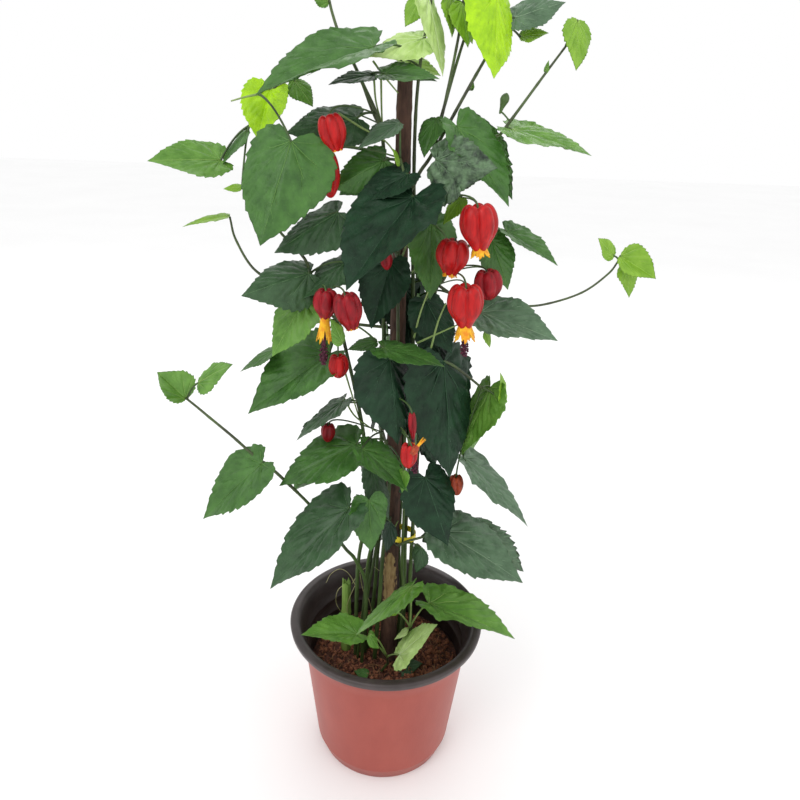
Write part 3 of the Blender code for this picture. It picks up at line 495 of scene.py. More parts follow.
def trunkPoint(share):
    # the axis at a share of the stem's height
    return trunkFoot + (trunkTop - trunkFoot) * share


def trunkRadius(share):
    # the radius there, straight between the given ones
    return float(np.interp(share, *np.array(trunk["radii"]).T)) * mm


def barkRelief(turn, share):
    # long ridges that wander round the stem, finer fissures, and a swelling at each old node
    around = np.stack([np.cos(turn) * 1.6, np.sin(turn) * 1.6, share * 9.0], axis=-1)
    ridges = waves(around, 1.5, trunk["seed"]) + 0.6 * waves(around * (1, 1, 2.2), 0.6, trunk["seed"] + 1)
    node = np.exp(-((share * 13 % 1 - 0.5) / 0.07) ** 2)
    return 1 + trunk["ridge"] * ridges + 0.05 * node


# The torn patch near the foot bares paler wood, a little sunk; heights in mm, directions in degrees
patch = {"low": 134.0, "high": 190.0, "facing": -98.0, "half": 66.0, "sunk": 0.07, "ragged": 0.3, "seed": 11}


def bared(turn, height):
    # 1 within the patch: its half width narrows to both ends as an ellipse's does, and its edge wanders
    way = np.clip((height / mm - patch["low"]) / (patch["high"] - patch["low"]) * 2 - 1, -1, 1)
    off = np.degrees(np.abs(np.angle(np.exp(1j * (turn - math.radians(patch["facing"]))))))
    wander = waves(np.stack([turn * 1.5, height / mm / 6, way * 0], axis=-1), 1.0, patch["seed"])
    half = patch["half"] * np.sqrt(1 - way ** 2) * (1 + patch["ragged"] * wander)
    return np.clip((half - off) / 8, 0, 1)


trunkHeap = Heap()
shares = np.linspace(0, 1, trunk["rows"])
axis = trunkPoint(shares[:, None])
radii = np.interp(shares, *np.array(trunk["radii"]).T) * mm


def trunkRelief(turn):
    # the bark's relief, sunk by a set share inside the torn patch
    around, along = np.broadcast_arrays(turn[None, :], shares[:, None])
    facing = around + math.tau / 4  # an upright tube's first side faces +Y
    return barkRelief(around, along) - patch["sunk"] * bared(facing, axis[:, 2][:, None] + 0 * around)


points, quads, fans = tube(axis, radii, trunk["sides"], trunkRelief)
centres = points[quads].mean(axis=1)
spokes = centres - trunkPoint(((centres[:, 2] - trunkFoot[2]) / (trunkTop[2] - trunkFoot[2]))[:, None])
torn = bared(np.arctan2(spokes[:, 1], spokes[:, 0]), centres[:, 2]) > 0.4
trunkHeap.add(points, quads, fans, torn.astype(int))
trunkHeap.make("trunk_bark", ["cork_bark", "bared_wood"], "bark", ["trunk"])

# Thin stems: radius at the foot and the tip in mm, the foot on the soil in mm, then board x, y and depth
stems = {
    "stem_left_outer": ((1.8, 1.2), (-26, 2), (
        (357, 585, 0), (359, 556, -2), (366, 515, -6), (366, 470, -8), (363, 430, -8), (354, 385, -10),
        (346, 350, -12))),
    "stem_left": ((2.0, 1.3), (-18, 6), (
        (367, 585, 5), (373, 540, 6), (379, 480, 8), (383, 400, 9), (384, 300, 9), (384, 230, 6),
        (385, 170, 4))),
    "stem_long_left": ((1.6, 1.1), (-20, -8), (
        (366, 590, -10), (356, 561, -14), (345, 548, -18), (325, 522, -21), (308, 503, -22),
        (297, 492, -24))),
    "stem_right": ((2.0, 1.3), (15, 4), (
        (404, 590, 4), (405, 540, 4), (408, 480, 4), (412, 400, 4), (413, 345, 4), (413, 270, 4),
        (414, 215, 3))),
    "stem_right_outer": ((1.8, 1.2), (23, -4), (
        (410, 590, -3), (412, 540, -4), (416, 480, -6), (421, 400, -8), (424, 345, -8),
        (430, 310, -8))),
    "stem_basal_right": ((1.3, 1.0), (11, -8), ((408, 645, -10), (410, 632, -12))),
    "stem_basal_left": ((1.3, 1.0), (-3, -17), ((387, 664, -19),)),
}


def onSoil(x, y, gaps):
    # a place so many gaps above the soil
    return np.array((x, y, pot["soil"] + gaps * pot["gap"])) * mm


def stemLine(name):
    # the stem's own points: its foot on the soil, a step up, then the board's places
    ends, (x, y), board = stems[name]
    path = np.array([onSoil(x, y, 1), onSoil(x, y, 2), *(place(*point) for point in board)])
    return path, np.linspace(*ends, len(path)) * mm


def woody(path, radii, steps, sides, bulge=0.12, every=26.0):
    # a smoothed tube that swells at each node, a leaf's joint every so many mm
    fine = smoothPath(path, steps)
    wide = np.interp(np.linspace(0, 1, len(fine)), np.linspace(0, 1, len(path)), radii)
    way = np.concatenate([[0], np.cumsum(np.linalg.norm(np.diff(fine, axis=0), axis=1))])
    node = np.exp(-((way / (every * mm) % 1 - 0.5) / 0.06) ** 2)
    return tube(fine, wide * (1 + bulge * node), sides)


stemHeap = Heap()
for name in stems:
    path, radii = stemLine(name)
    stemHeap.add(*woody(path[1:], radii[1:], 22, 10))
# Spent side stems crowd the trunk's foot: radius at the foot and the tip, foot on the soil, board places
sideStems = (
    ((1.6, 1.2), (-15, 11), ((375, 585, 13), (379, 540, 12), (387, 480, 11), (392, 420, 8))),
    ((1.8, 1.3), (-9, -3), ((380, 592, -7), (383, 552, -9), (388, 505, -9), (391, 450, -8))),
    ((1.4, 1.1), (-21, 5), ((368, 592, 4), (376, 548, 1), (382, 500, -3), (387, 440, -5))),
    ((1.5, 1.1), (10, 9), ((401, 588, 11), (399, 550, 11), (402, 480, 10), (404, 400, 8))),
    ((1.3, 1.0), (12, -7), ((403, 594, -8), (402, 562, -10), (404, 505, -10), (405, 430, -8))),
    ((1.2, 0.9), (-5, 13), ((388, 580, 15), (391, 530, 14), (395, 470, 11), (398, 400, 9))),
    ((1.2, 0.9), (-24, -2), ((364, 600, -4), (368, 560, -7), (376, 530, -9), (383, 505, -10))),
)
for ends, (x, y), board in sideStems:
    path = np.array([onSoil(x, y, 2), *(place(*point) for point in board)])
    stemHeap.add(*woody(path, np.linspace(*ends, len(path)) * mm, 16, 8, 0.10, 31.0))
stemHeap.make("green_stems", ["green_rind"], "green_stem", list(stems))
print("trunk and stems made")

# Cut cane: a stump with ridges along it, torn at the top into a ragged crown round its dished pith
cane = {"foot": (-35.0, 10.0), "height": 72.0, "lean": (0.0, 2.0), "radii": (4.2, 3.6), "sides": 60,
        "rows": 60, "torn": 5.0, "ridges": (0.05, 0.03)}
caneHeap = Heap()
foot = onSoil(*cane["foot"], 1)
lean = np.array((*cane["lean"], cane["height"])) * mm
shares = np.concatenate([np.linspace(0, 1, cane["rows"]), [1.0, 0.985, 0.95]])
radii = np.interp(shares, (0, 1), cane["radii"]) * mm
radii[-3:] *= (0.86, 0.66, 0.3)  # the last rows turn in over the top and dip towards the pith
turn = np.arange(cane["sides"]) / cane["sides"] * math.tau
ridged = 1 + cane["ridges"][0] * np.cos(5 * turn) + cane["ridges"][1] * np.cos(11 * turn + 1)
node = 1 + 0.10 * np.exp(-((shares - 0.55) / 0.03) ** 2)  # one joint, a little above the middle
ring = np.stack([np.cos(turn) * ridged, np.sin(turn) * ridged, 0 * turn], axis=-1)
points = (foot + lean * shares[:, None])[:, None] + ring * (radii * node)[:, None, None]
circle = np.stack([np.cos(turn), np.sin(turn)], axis=-1)
ragged = (waves(circle, 0.9, 4) + 0.7 * waves(circle, 0.35, 5) - 1.1) * cane["torn"] * 0.4 * mm
points[:, :, 2] += ragged * np.clip((shares - 0.8) / 0.2, 0, 1)[:, None] ** 2
points[-3:, :, 2] -= ragged * np.array((0.0, 0.4, 0.8))[:, None]
caneHeap.add(*closedRings(points.reshape(-1, 3), cane["sides"], foot, points[-1].mean(axis=0)))
caneHeap.make("cane_stump", ["cut_green_cane"], "cut_cane", ["cut_cane"])

# Tie: a flat strip in an oval snug round the trunk and the outer right stem
tie = {"low": 204.2, "band": 5.0, "thick": 0.7, "room": 1.03, "wave": 0.25, "steps": 96,
       "stem": "stem_right_outer"}


def tieBand():
    # the oval's half length spans trunk and stem; its half width is the root of half length * trunk radius
    share = (tie["low"] * mm - trunkFoot[2]) / (trunkTop[2] - trunkFoot[2])
    middle, hold = trunkPoint(share), trunkRadius(share) + pot["gap"] * mm
    path, radii = stemLine(tie["stem"])
    stem = np.array([np.interp(tie["low"] * mm, path[:, 2], path[:, i]) for i in range(2)])
    run = stem - middle[:2]
    along = unit(run)
    aside = np.array((-along[1], along[0]))
    halfLength = (hold + np.linalg.norm(run) + radii[2] + pot["gap"] * mm) / 2
    halfWidth = math.sqrt(halfLength * hold) * tie["room"]
    centre = middle[:2] + along * (halfLength - hold)
    turn = np.arange(tie["steps"]) / tie["steps"] * math.tau
    wave = tie["wave"] * mm * np.sin(3 * turn)
    rings = []
    for out, rise in ((0, 0), (tie["thick"], 0), (tie["thick"], tie["band"]), (0, tie["band"])):
        x, y = (halfLength + out * mm) * np.cos(turn), (halfWidth + out * mm) * np.sin(turn)
        flat = centre + x[:, None] * along + y[:, None] * aside
        rings.append(np.column_stack([flat, np.full(len(turn), (tie["low"] + rise) * mm) + wave]))
    points = np.stack(rings, axis=1).reshape(-1, 3)
    quads = gridFaces(tie["steps"], 4, True)
    last = (tie["steps"] - 1) * 4
    seam = [(last + side, last + (side + 1) % 4, (side + 1) % 4, side) for side in range(4)]
    return points, np.vstack([quads, seam])[:, ::-1], []


tieHeap = Heap()
tieHeap.add(*tieBand())
tiePiece = tieHeap.make("vinyl_tie", ["yellow_vinyl_tie"], "yellow_tie", ["tie"])
tiePiece.data.polygons.foreach_set("use_smooth", np.zeros(len(tiePiece.data.polygons), bool))

# Loose pale fibres between the cane and the stems, as board x, y and depth
threads = (
    ((357, 588, 0), (349, 574, 3), (340, 569, 5), (331, 574, 6), (326, 583, 6)),
    ((358, 580, 0), (352, 592, 4), (347, 606, 6), (349, 618, 8)),
    ((360, 574, -1), (363, 590, 2), (369, 600, 2), (372, 612, 0)),
    ((347, 583, 12), (338, 590, 12), (336, 602, 11), (341, 612, 10)),
    ((352, 584, 12), (360, 572, 9), (371, 566, 5), (380, 571, -1)),
)
strands("pale_threads", "dry_bast_thread", "cut_cane", threads, (0.34, 0.18), 5)
print("cane and tie made")

# Shoots. "root" names a thin stem, or is the trunk. "stem" and "twigs" are board x, y and depth.
# A leaf is the joint's x, y, the tip's x, y, the depth of each, the two half widths as they look, on
# the right hand from joint to tip and on the left, and its tone. A flower is the calyx's top x, y,
# its mouth's x, y, the depth, the calyx's width, the length of the petals below it, its kind, and the
# turn of its seams in degrees, where 0 has a seam in front. A smaller depth is nearer to the viewer.
shoots = {
    "foliage_top_left": {
        "root": "stem_left",
        "stem": ((380, 124, 3), (362, 82, 0), (353, 62, 3), (340, 36, 11), (332, 12, 14), (328, -6, 14)),
        "twigs": (((353, 60, 4), (330, 60, 8), (300, 68, 3), (272, 84, -17), (259, 94, -25)),
                  ((285, 76, -7), (262, 104, 0), (249, 126, -3))),
        "leaves": (
            (270, 89, 258, 141, -3, -20, 27, 19, "lime"),
            (291, 141, 260, 246, -42, -62, 41, 50, "mid"),
            (294, 80, 313, 107, 3, -3, 12, 10, "fresh"),
            (221, 160, 147, 161, -8, -28, 22, 14, "fresh"),
            (247, 130, 221, 167, -3, -11, 5, 4, "mid"),
            (242, 187, 223, 189, -22, -22, 4, 4, "spring"),
            (376, 75, 328, 85, -11, -20, 9, 3, "deep"),
            (384, 74, 440, 79, -22, -26, 4, 13, "mid"),
            (357, 118, 285, 133, -6, -17, 18, 25, "deep"),
            (329, 2, 309, -14, 14, 6, 7, 9, "fresh"),
            (328, -4, 343, -24, 14, 20, 8, 8, "lime")),
        "flowers": ((329, 119, 337, 150, -34, 27, 2, "red", 20),),
    },
    "foliage_top": {
        "root": "stem_right",
        "stem": ((414, 170, 4), (415, 130, 4), (417, 95, 4), (421, 58, 0), (425, 36, 0), (430, 10, 3),
                 (432, -12, 6)),
        "twigs": (),
        "leaves": (
            (374, 47, 255, 95, -20, -42, 33, 2, "mid"),
            (424, 38, 367, 57, -3, -14, 12, 16, "pale"),
            (428, -6, 443, 77, 2, -8, 12, 9, "pale"),
            (421, -3, 405, 27, 4, 2, 10, 12, "spring"),
            (399, 60, 441, 76, 10, 7, 7, 12, "pale"),
            (432, -10, 418, -34, 6, 11, 9, 9, "lime")),
        "flowers": (),
    },
    "foliage_top_right": {
        "root": "trunk",
        "stem": ((410, 192, -11), (420, 172, -13), (431, 156, -11), (452, 118, -6), (472, 82, -3),
                 (484, 61, 3), (498, 36, 11), (512, 18, 14)),
        "twigs": (((433, 152, -11), (443, 112, -3), (452, 70, 3), (460, 28, 6), (464, -4, 8), (466, -20, 8)),
                  ((441, 118, -4), (457, 62, 8), (470, 20, 11), (477, -10, 11))),
        "leaves": (
            (497, -8, 494, 79, 0, -22, 31, 20, "lime"),
            (514, 18, 566, 2, 14, 17, 14, 13, "grey"),
            (520, 37, 549, 33, 17, 14, 5, 8, "spring"),
            (462, 2, 468, 48, 6, 0, 13, 9, "spring"),
            (450, -6, 452, 38, 6, 2, 8, 6, "spring"),
            (437, 118, 424, 158, -6, -17, 14, 10, "mid"),
            (468, -16, 450, -38, 8, 0, 10, 10, "lime"),
            (478, -12, 503, -32, 11, 17, 9, 10, "fresh"),
            (472, 90, 473, 80, 0, 0, 2, 2, "fresh")),
        "flowers": (),
    },
    "foliage_right_upper": {
        "root": "trunk",
        "stem": ((411, 222, -13), (424, 200, -17), (440, 175, -17), (462, 152, -8), (485, 140, 0),
                 (500, 135, 3)),
        "twigs": (((500, 135, 3), (520, 108, 4), (545, 74, 7), (566, 46, 10)),),
        "leaves": (
            (457, 126, 509, 207, -17, -28, 12, 30, "mid"),
            (436, 160, 498, 168, -38, -50, 29, 25, "crinkled"),
            (454, 178, 420, 211, -40, -46, 12, 16, "crinkled"),
            # painted light: this small leaf takes the lighter spring tone to make up for the shade it sits in
            (462, 197, 443, 225, -20, -25, 7, 9, "spring"),
            (511, 129, 592, 156, 3, -14, 5, 14, "fresh"),
            (578, 20, 576, 71, 11, 3, 13, 14, "spring"),
            (546, 73, 549, 60, 7, 7, 2, 3, "fresh")),
        "flowers": ((478, 210, 480, 248, -53, 38, 9, "red", 8), (500, 113, 507, 93, 3, 9, 0, "club", 0)),
    },
    "foliage_right_middle": {
        "root": "stem_right_outer",
        "stem": ((438, 285, -14), (452, 262, -14), (470, 245, -11), (488, 234, -6), (500, 230, -3)),
        "twigs": (((438, 285, -14), (460, 300, -11), (478, 308, -8), (505, 306, 0), (541, 305, 8),
                   (581, 293, 14), (608, 274, 17), (619, 260, 17)),),
        "leaves": (
            (506, 231, 558, 266, -3, -14, 3, 16, "mid"),
            (492, 240, 508, 290, -11, -20, 17, 18, "mid"),
            (480, 312, 558, 341, -20, -31, 14, 27, "grey"),
            (432, 223, 430, 300, -22, -29, 22, 25, "mid"),
            (426, 300, 452, 354, -24, -42, 24, 18, "shade"),
            (404, 288, 410, 350, 14, 10, 24, 22, "shade"),
            (428, 322, 447, 374, -10, -12, 16, 14, "shade"),
            (420, 296, 425, 350, 18, 32, 5, 4, "mid"),
            (486, 331, 490, 348, -16, -17, 4, 4, "spring"),
            (614, 256, 598, 238, 17, 14, 8, 8, "spring"),
            (620, 256, 656, 279, 14, 6, 10, 20, "spring"),
            (628, 260, 629, 298, 20, 17, 9, 10, "spring")),
        "flowers": ((455, 244, 450, 273, -42, 33, 4, "red", -14), (466, 290, 465, 325, -59, 36, 15, "red", 0),
                    (487, 274, 489, 300, -31, 28, 0, "crimson", 30)),
    },
    "foliage_centre": {
        "root": "trunk",
        "stem": ((398, 342, -13), (398, 300, -14), (398, 262, -17), (401, 230, -20), (405, 200, -22),
                 (404, 175, -22), (400, 158, -20)),
        "twigs": (),
        "leaves": (
            (413, 197, 346, 291, -36, -87, 50, 26, "shade"),
            (408, 174, 356, 204, -25, -36, 18, 12, "shade"),
            (384, 160, 332, 190, -14, -22, 20, 27, "mid"),
            (400, 123, 357, 150, -20, -25, 11, 6, "grey"),
            (391, 262, 371, 329, -20, -31, 28, 22, "shade"),
            (400, 164, 392, 148, -22, -26, 3, 3, "spring"),
            (412, 205, 416, 262, 18, 32, 5, 4, "deep"),
            (389, 250, 384, 306, 20, 36, 4, 5, "mid"),
            (411, 178, 415, 215, 16, 28, 4, 4, "mid")),
        "flowers": ((327, 158, 331, 198, -25, 22, 0, "red", 30), (386, 254, 387, 270, -28, 12, 0, "crimson", 0)),
    },
    "foliage_left_middle": {
        "root": "stem_left_outer",
        "stem": ((338, 320, -17), (325, 295, -17), (312, 277, -20), (306, 261, -22), (294, 246, -22),
                 (281, 233, -22), (274, 220, -20)),
        "twigs": (((312, 277, -20), (285, 285, -17), (255, 270, -17), (236, 240, -14), (230, 218, -14)),),
        "leaves": (
            (338, 212, 274, 253, -27, -38, 16, 30, "deep"),
            (309, 273, 241, 296, -28, -48, 20, 31, "deep"),
            (346, 262, 302, 299, -22, -34, 14, 14, "deep"),
            (305, 299, 272, 357, -22, -34, 20, 22, "fresh"),
            (330, 353, 248, 414, -6, -20, 37, 18, "mid"),
            (275, 350, 240, 372, -3, -6, 6, 4, "mid"),
            (343, 343, 330, 318, -62, -64, 7, 8, "fresh"),
            (377, 342, 347, 350, -17, -19, 8, 6, "mid"),
            (229, 216, 182, 227, -14, -20, 6, 1, "spring")),
        "flowers": ((326, 293, 325, 317, -42, 25, 23, "crimson", 24), (345, 298, 352, 328, -53, 28, 2, "crimson", 6),
                    (338, 358, 339, 378, -28, 20, 0, "red", 16), (323, 341, 324, 361, -20, 9, 0, "column", 0)),
    },
    "foliage_centre_low": {
        "root": "trunk",
        "stem": ((393, 462, -13), (385, 440, -20), (378, 410, -22), (378, 375, -24), (380, 348, -25)),
        "twigs": (),
        "leaves": (
            (383, 348, 445, 367, -46, -60, 9, 14, "mid"),
            (390, 359, 398, 445, -40, -64, 39, 22, "shade"),
            (357, 444, 279, 486, -22, -42, 28, 21, "mid"),
            (362, 448, 408, 492, -50, -62, 10, 20, "mid"),
            (343, 401, 296, 441, -17, -31, 9, 6, "deep"),
            (404, 470, 402, 493, -56, -58, 6, 6, "fresh"),
            (371, 468, 389, 520, -20, -28, 11, 12, "deep"),
            (384, 385, 380, 440, 20, 36, 5, 4, "deep"),
            (388, 335, 385, 372, 16, 30, 4, 4, "mid")),
        "flowers": ((328, 426, 328, 442, -17, 14, 0, "crimson", 0), (412, 416, 413, 438, -62, 8, 18, "crimson", 0),
                    (409, 447, 408, 468, -70, 17, 0, "red", 20),
                    (412, 453, 418, 446, -74, 8, 9, "rust", 0)),
    },
    "foliage_right_low": {
        "root": "trunk",
        "stem": ((402, 383, -11), (414, 376, -20), (430, 366, -25), (446, 362, -28), (466, 375, -22),
                 (482, 388, -17)),
        "twigs": (),
        "leaves": (
            (444, 361, 450, 478, -30, -44, 38, 30, "shade"),
            (490, 387, 461, 456, -11, -25, 14, 18, "fresh"),
            (504, 405, 500, 372, -19, -17, 5, 4, "spring"),
            (463, 457, 528, 527, -8, -25, 6, 18, "grey"),
            (414, 400, 418, 452, 20, 35, 4, 5, "mid"),
            (412, 450, 415, 500, 18, 30, 5, 4, "deep")),
        "flowers": ((456, 478, 457, 495, -20, 14, 0, "rust", 0),),
    },
    "foliage_low_left": {
        "root": "trunk",
        "stem": ((388, 522, -11), (378, 513, -20), (366, 508, -25), (352, 505, -28)),
        "twigs": (),
        "leaves": (
            (349, 508, 270, 589, -46, -76, 36, 20, "deep"),
            (369, 500, 371, 552, -46, -54, 19, 19, "mid"),
            (391, 522, 386, 553, -20, -22, 8, 7, "shade"),
            (384, 496, 381, 540, 16, 30, 4, 4, "deep")),
        "flowers": (),
    },
    "foliage_low_right": {
        "root": "trunk",
        "stem": ((398, 545, -11), (408, 541, -20), (425, 536, -22), (436, 528, -20)),
        "twigs": (),
        "leaves": (
            (441, 530, 523, 583, -14, -36, 24, 33, "grey"),
            (425, 477, 448, 546, -36, -50, 31, 24, "shade"),
            (421, 547, 416, 573, -17, -17, 8, 9, "deep")),
        "flowers": (),
    },
    "foliage_trailing_left": {
        "root": "stem_long_left",
        "stem": ((270, 467, -31), (257, 458, -28), (232, 436, -25), (209, 417, -22), (197, 407, -22),
                 (187, 399, -22)),
        "twigs": (),
        "leaves": (
            (262, 463, 203, 519, -36, -48, 27, 19, "mid"),
            (186, 399, 157, 372, -22, -17, 22, 12, "fresh"),
            (198, 383, 233, 364, -25, -31, 12, 10, "fresh")),
        "flowers": (),
    },
    "foliage_basal_right": {
        "root": "stem_basal_right",
        "stem": ((410, 627, -18),),
        "twigs": (),
        "leaves": (
            (429, 603, 515, 639, -25, -48, 6, 28, "fresh"),
            (412, 586, 355, 636, -38, -64, 9, 9, "fresh"),
            (408, 629, 394, 640, -22, -25, 3, 3, "pale"),
            (397, 612, 387, 614, -20, -21, 3, 3, "spring")),
        "flowers": (),
    },
    "foliage_basal_left": {
        "root": "stem_basal_left",
        "stem": ((387, 657, -29),),
        "twigs": (),
        "leaves": (
            (358, 634, 301, 635, -42, -50, 21, 7, "fresh"),
            (369, 634, 379, 649, -50, -50, 6, 5, "fresh"),
            (399, 655, 438, 624, -36, -39, 11, 13, "pale")),
        "flowers": (),
    },
}

# Back of the crown: a shoot repeats behind the trunk on the same lines of sight, faces the other way,
# and varies a little in size and turn. Only what is within reach of the board's middle and above the
# given sizes of leaf and flower is repeated; each shoot's number puts it further back.
back = {
    "seed": 12, "depth": 26.0, "stretch": 0.85, "scale": (0.78, 0.92), "swing": 0.16, "reach": 90.0,
    "start": 15.0, "flower": 20.0, "leaf": 40.0,
    "shoots": {
        "foliage_top_left": 0, "foliage_top_right": 0, "foliage_right_upper": 0, "foliage_right_middle": 0,
        "foliage_centre": 0, "foliage_left_middle": 0, "foliage_centre_low": 14, "foliage_right_low": 0,
        "foliage_low_left": 0, "foliage_low_right": 0,
    },
}

# Blade: heart-shaped, toothed, with a long tip. The half outline is (share of the length, share of the
# half width) from the notch at the joint round the lobe to the tip.
leaf = {
    "halfWidth": 0.40, "arch": 0.03, "curl": 0.045, "ruffle": 0.030, "pucker": 0.006, "crinkle": 0.034,
    "groove": 0.019, "grooveWidth": 0.024, "thick": 0.26, "teeth": 14, "toothDepth": 0.024, "perTooth": 3,
    "toothSpread": (0.45, 1.5), "lean": 0.6,
    "outline": ((-0.01, 0.02), (-0.06, 0.12), (-0.12, 0.30), (-0.125, 0.52), (-0.06, 0.76), (0.07, 0.93),
                (0.22, 1.0), (0.38, 0.96), (0.54, 0.80), (0.69, 0.56), (0.82, 0.32), (0.92, 0.13), (1.0, 0.0)),
    "smallOutline": ((0.0, 0.04), (-0.02, 0.22), (0.0, 0.50), (0.08, 0.80), (0.22, 0.98), (0.38, 0.98),
                     (0.54, 0.82), (0.69, 0.58), (0.82, 0.34), (0.92, 0.14), (1.0, 0.0)),
    "small": 34.0, "tubeSides": 3,
    "rings": {
        "fine": (0.08, 0.17, 0.26, 0.35, 0.44, 0.53, 0.61, 0.69, 0.77, 0.84, 0.90, 0.95, 0.985, 1.0),
        "coarse": (0.12, 0.30, 0.48, 0.66, 0.82, 0.94, 1.0),
    },
    "palms": (0.20, 0.40, 0.63),  # where the side veins reach the outline, as shares of its way
    "ribs": ((0.24, 0.72), (0.38, 0.79), (0.52, 0.85), (0.65, 0.90), (0.77, 0.94)),  # midrib to outline
    # side vein, the share of the way along it, and where the spur reaches the outline
    "spurs": ((0.63, 0.38, 0.50), (0.63, 0.62, 0.56), (0.63, 0.38, 0.70), (0.40, 0.5, 0.30), (0.40, 0.5, 0.47)),
    "veinRadius": (0.50, 0.20), "veinRaise": 0.10, "veinSteps": 7,
    "veinWidths": (1.25, 0.95, 0.62, 0.5),  # the midrib's, a side vein's, a rib's and a spur's
}


def smoothOutline(small):
    # the half outline at even steps, as many as the teeth need
    line = smoothPath(leaf["smallOutline" if small else "outline"], 12)
    return evenPath(line * (1, leaf["halfWidth"]), leaf["teeth"] * leaf["perTooth"] + 1)


outlines = {small: smoothOutline(small) for small in (False, True)}


def toothedOutline(small, chance):
    # saw teeth of uneven height that lean to the tip, on an outline that swells and narrows a little
    scaled = outlines[small]
    count = len(scaled)
    way = np.linspace(0, 1, count)
    tooth = np.arange(count) // leaf["perTooth"]
    saw = np.arange(count) % leaf["perTooth"] / (leaf["perTooth"] - 1) - 0.35
    high = chance.uniform(*leaf["toothSpread"], leaf["teeth"] + 1)[tooth]
    fade = np.clip(way / 0.12, 0, 1) * np.clip((1 - way) / 0.3, 0.0, 1)
    heading = unit(np.gradient(scaled, axis=0))
    outward = np.stack([-heading[:, 1], heading[:, 0]], axis=1)
    swell = 1 + 0.05 * np.sin(way * 9 + chance.uniform(0, math.tau)) * fade
    toothed = scaled * np.stack([np.ones(count), swell], axis=1)
    toothed = toothed + (outward + leaf["lean"] * heading) * (saw * high * fade * leaf["toothDepth"])[:, None]
    toothed[-1] = (1.0, 0.0)
    return toothed


def sheetFaces(columns, rings):
    # a fan and a grid on the top, the same turned over below, sharing the joint and the whole rim
    inner = columns - 2
    rim = 1 + np.arange(columns + 2 * (rings - 1))  # outer ring, then the two notch edges ring by ring
    top = np.zeros((rings, columns), int)
    top[-1] = rim[:columns]
    top[:-1, 0] = rim[columns::2]
    top[:-1, -1] = rim[columns + 1::2]
    bottom = top.copy()
    start = 1 + len(rim)
    top[:-1, 1:-1] = start + np.arange((rings - 1) * inner).reshape(rings - 1, inner)
    bottom[:-1, 1:-1] = top[:-1, 1:-1] + (rings - 1) * inner
    faces, fans = [], []
    for layer, flip in ((top, False), (bottom, True)):
        quads = np.stack([layer[:-1, :-1], layer[1:, :-1], layer[1:, 1:], layer[:-1, 1:]], -1).reshape(-1, 4)
        fan = np.stack([np.zeros(columns - 1, int), layer[0, :-1], layer[0, 1:]], axis=-1)
        faces.append(quads[:, ::-1] if flip else quads)
        fans.append(fan[:, ::-1] if flip else fan)
    return {"top": top, "bottom": bottom, "quads": np.vstack(faces), "fans": np.vstack(fans),
            "count": start + 2 * (rings - 1) * inner}


leafColumns = 2 * (leaf["teeth"] * leaf["perTooth"] + 1) - 1
leafSheets = {level: sheetFaces(leafColumns, len(rings)) for level, rings in leaf["rings"].items()}


def bladeFrame(row, scale, behind):
    # the joint, the midrib's direction, the blade's face and its two half planes. A half that is turned
    # by an angle looks narrower by the angle's cosine, so the two half widths give the turn and the fold
    x1, y1, x2, y2, depth1, depth2, wideClockwise, wideOther = row[:8]
    joint, tip = place(x1, y1, depth1), place(x2, y2, depth2)
    middle = (joint + tip) / 2
    joint, tip = middle + (joint - middle) * scale, middle + (tip - middle) * scale
    length = float(np.linalg.norm(tip - joint))
    along = (tip - joint) / length
    seen = unit(middle - eye if behind else eye - middle)
    facing = unit(seen - along * (seen @ along))
    clockwise = np.cross(along, facing)
    wides = (wideOther, wideClockwise) if behind else (wideClockwise, wideOther)
    looks = [realSize(wide, middle) * scale for wide in wides]
    half = max(leaf["halfWidth"] * length, *looks)
    turns = [math.acos(min(look / half, 1.0)) for look in looks]
    turn, fold = sum(turns) / 2, (turns[1] - turns[0]) / 2
    if clockwise[2] * math.sin(turn) < 0:  # of the two turns that look alike, the one that faces the sky
        turn, fold = -turn, -fold
    face = facing * math.cos(turn) + clockwise * math.sin(turn)
    across = clockwise * math.cos(turn) - facing * math.sin(turn)
    sides = [side * math.cos(fold) + face * math.sin(fold) for side in (across, -across)]
    return {"joint": joint, "length": length, "half": half, "along": along, "face": face, "sides": sides}


def veinLines(small):
    # the midrib, the side veins out of the joint, their spurs and the midrib's ribs, on the flat blade
    smooth = outlines[small]
    last = len(smooth) - 1
    t = np.linspace(0, 1, leaf["veinSteps"])[:, None]
    midrib, sideVein, rib, spur = leaf["veinWidths"]
    bow = np.array((0.06, 0)) * t * (1 - t)
    lines = [(np.hstack([t * 0.97, t * 0]), midrib)]
    for sign in (1, -1):
        mirror = np.array((1, sign))
        for share in leaf["palms"]:
            end = smooth[round(share * last)] * mirror
            lines.append((t * end * 0.95 + bow, sideVein))
        for start, share in leaf["ribs"][:2 if small else 5]:
            end = smooth[round(share * last)] * mirror * (0.97, 0.92)
            lines.append(((start, 0) + (end - (start, 0)) * t - bow, rib))
        for share, way, reach in () if small else leaf["spurs"]:
            start = smooth[round(share * last)] * mirror * way
            end = smooth[round(reach * last)] * mirror * 0.92
            lines.append((start + (end - start) * t, spur))
    return lines


veins = {small: veinLines(small) for small in (False, True)}


def veinDistance(flat, lines):
    # the least distance from each point to the veins' straight steps, a thinner vein counting as further
    nearest = np.full(flat.shape[:-1], 9.0)
    for line, width in lines:
        for start, end in zip(line[:-1:2], [*line[2::2], line[-1]]):
            run = end - start
            share = np.clip((flat - start) @ run / max(run @ run, 1e-12), 0, 1)[..., None]
            gap = np.linalg.norm(flat - start - run * share, axis=-1) / (0.5 + 0.5 * width)
            nearest = np.minimum(nearest, gap)
    return nearest


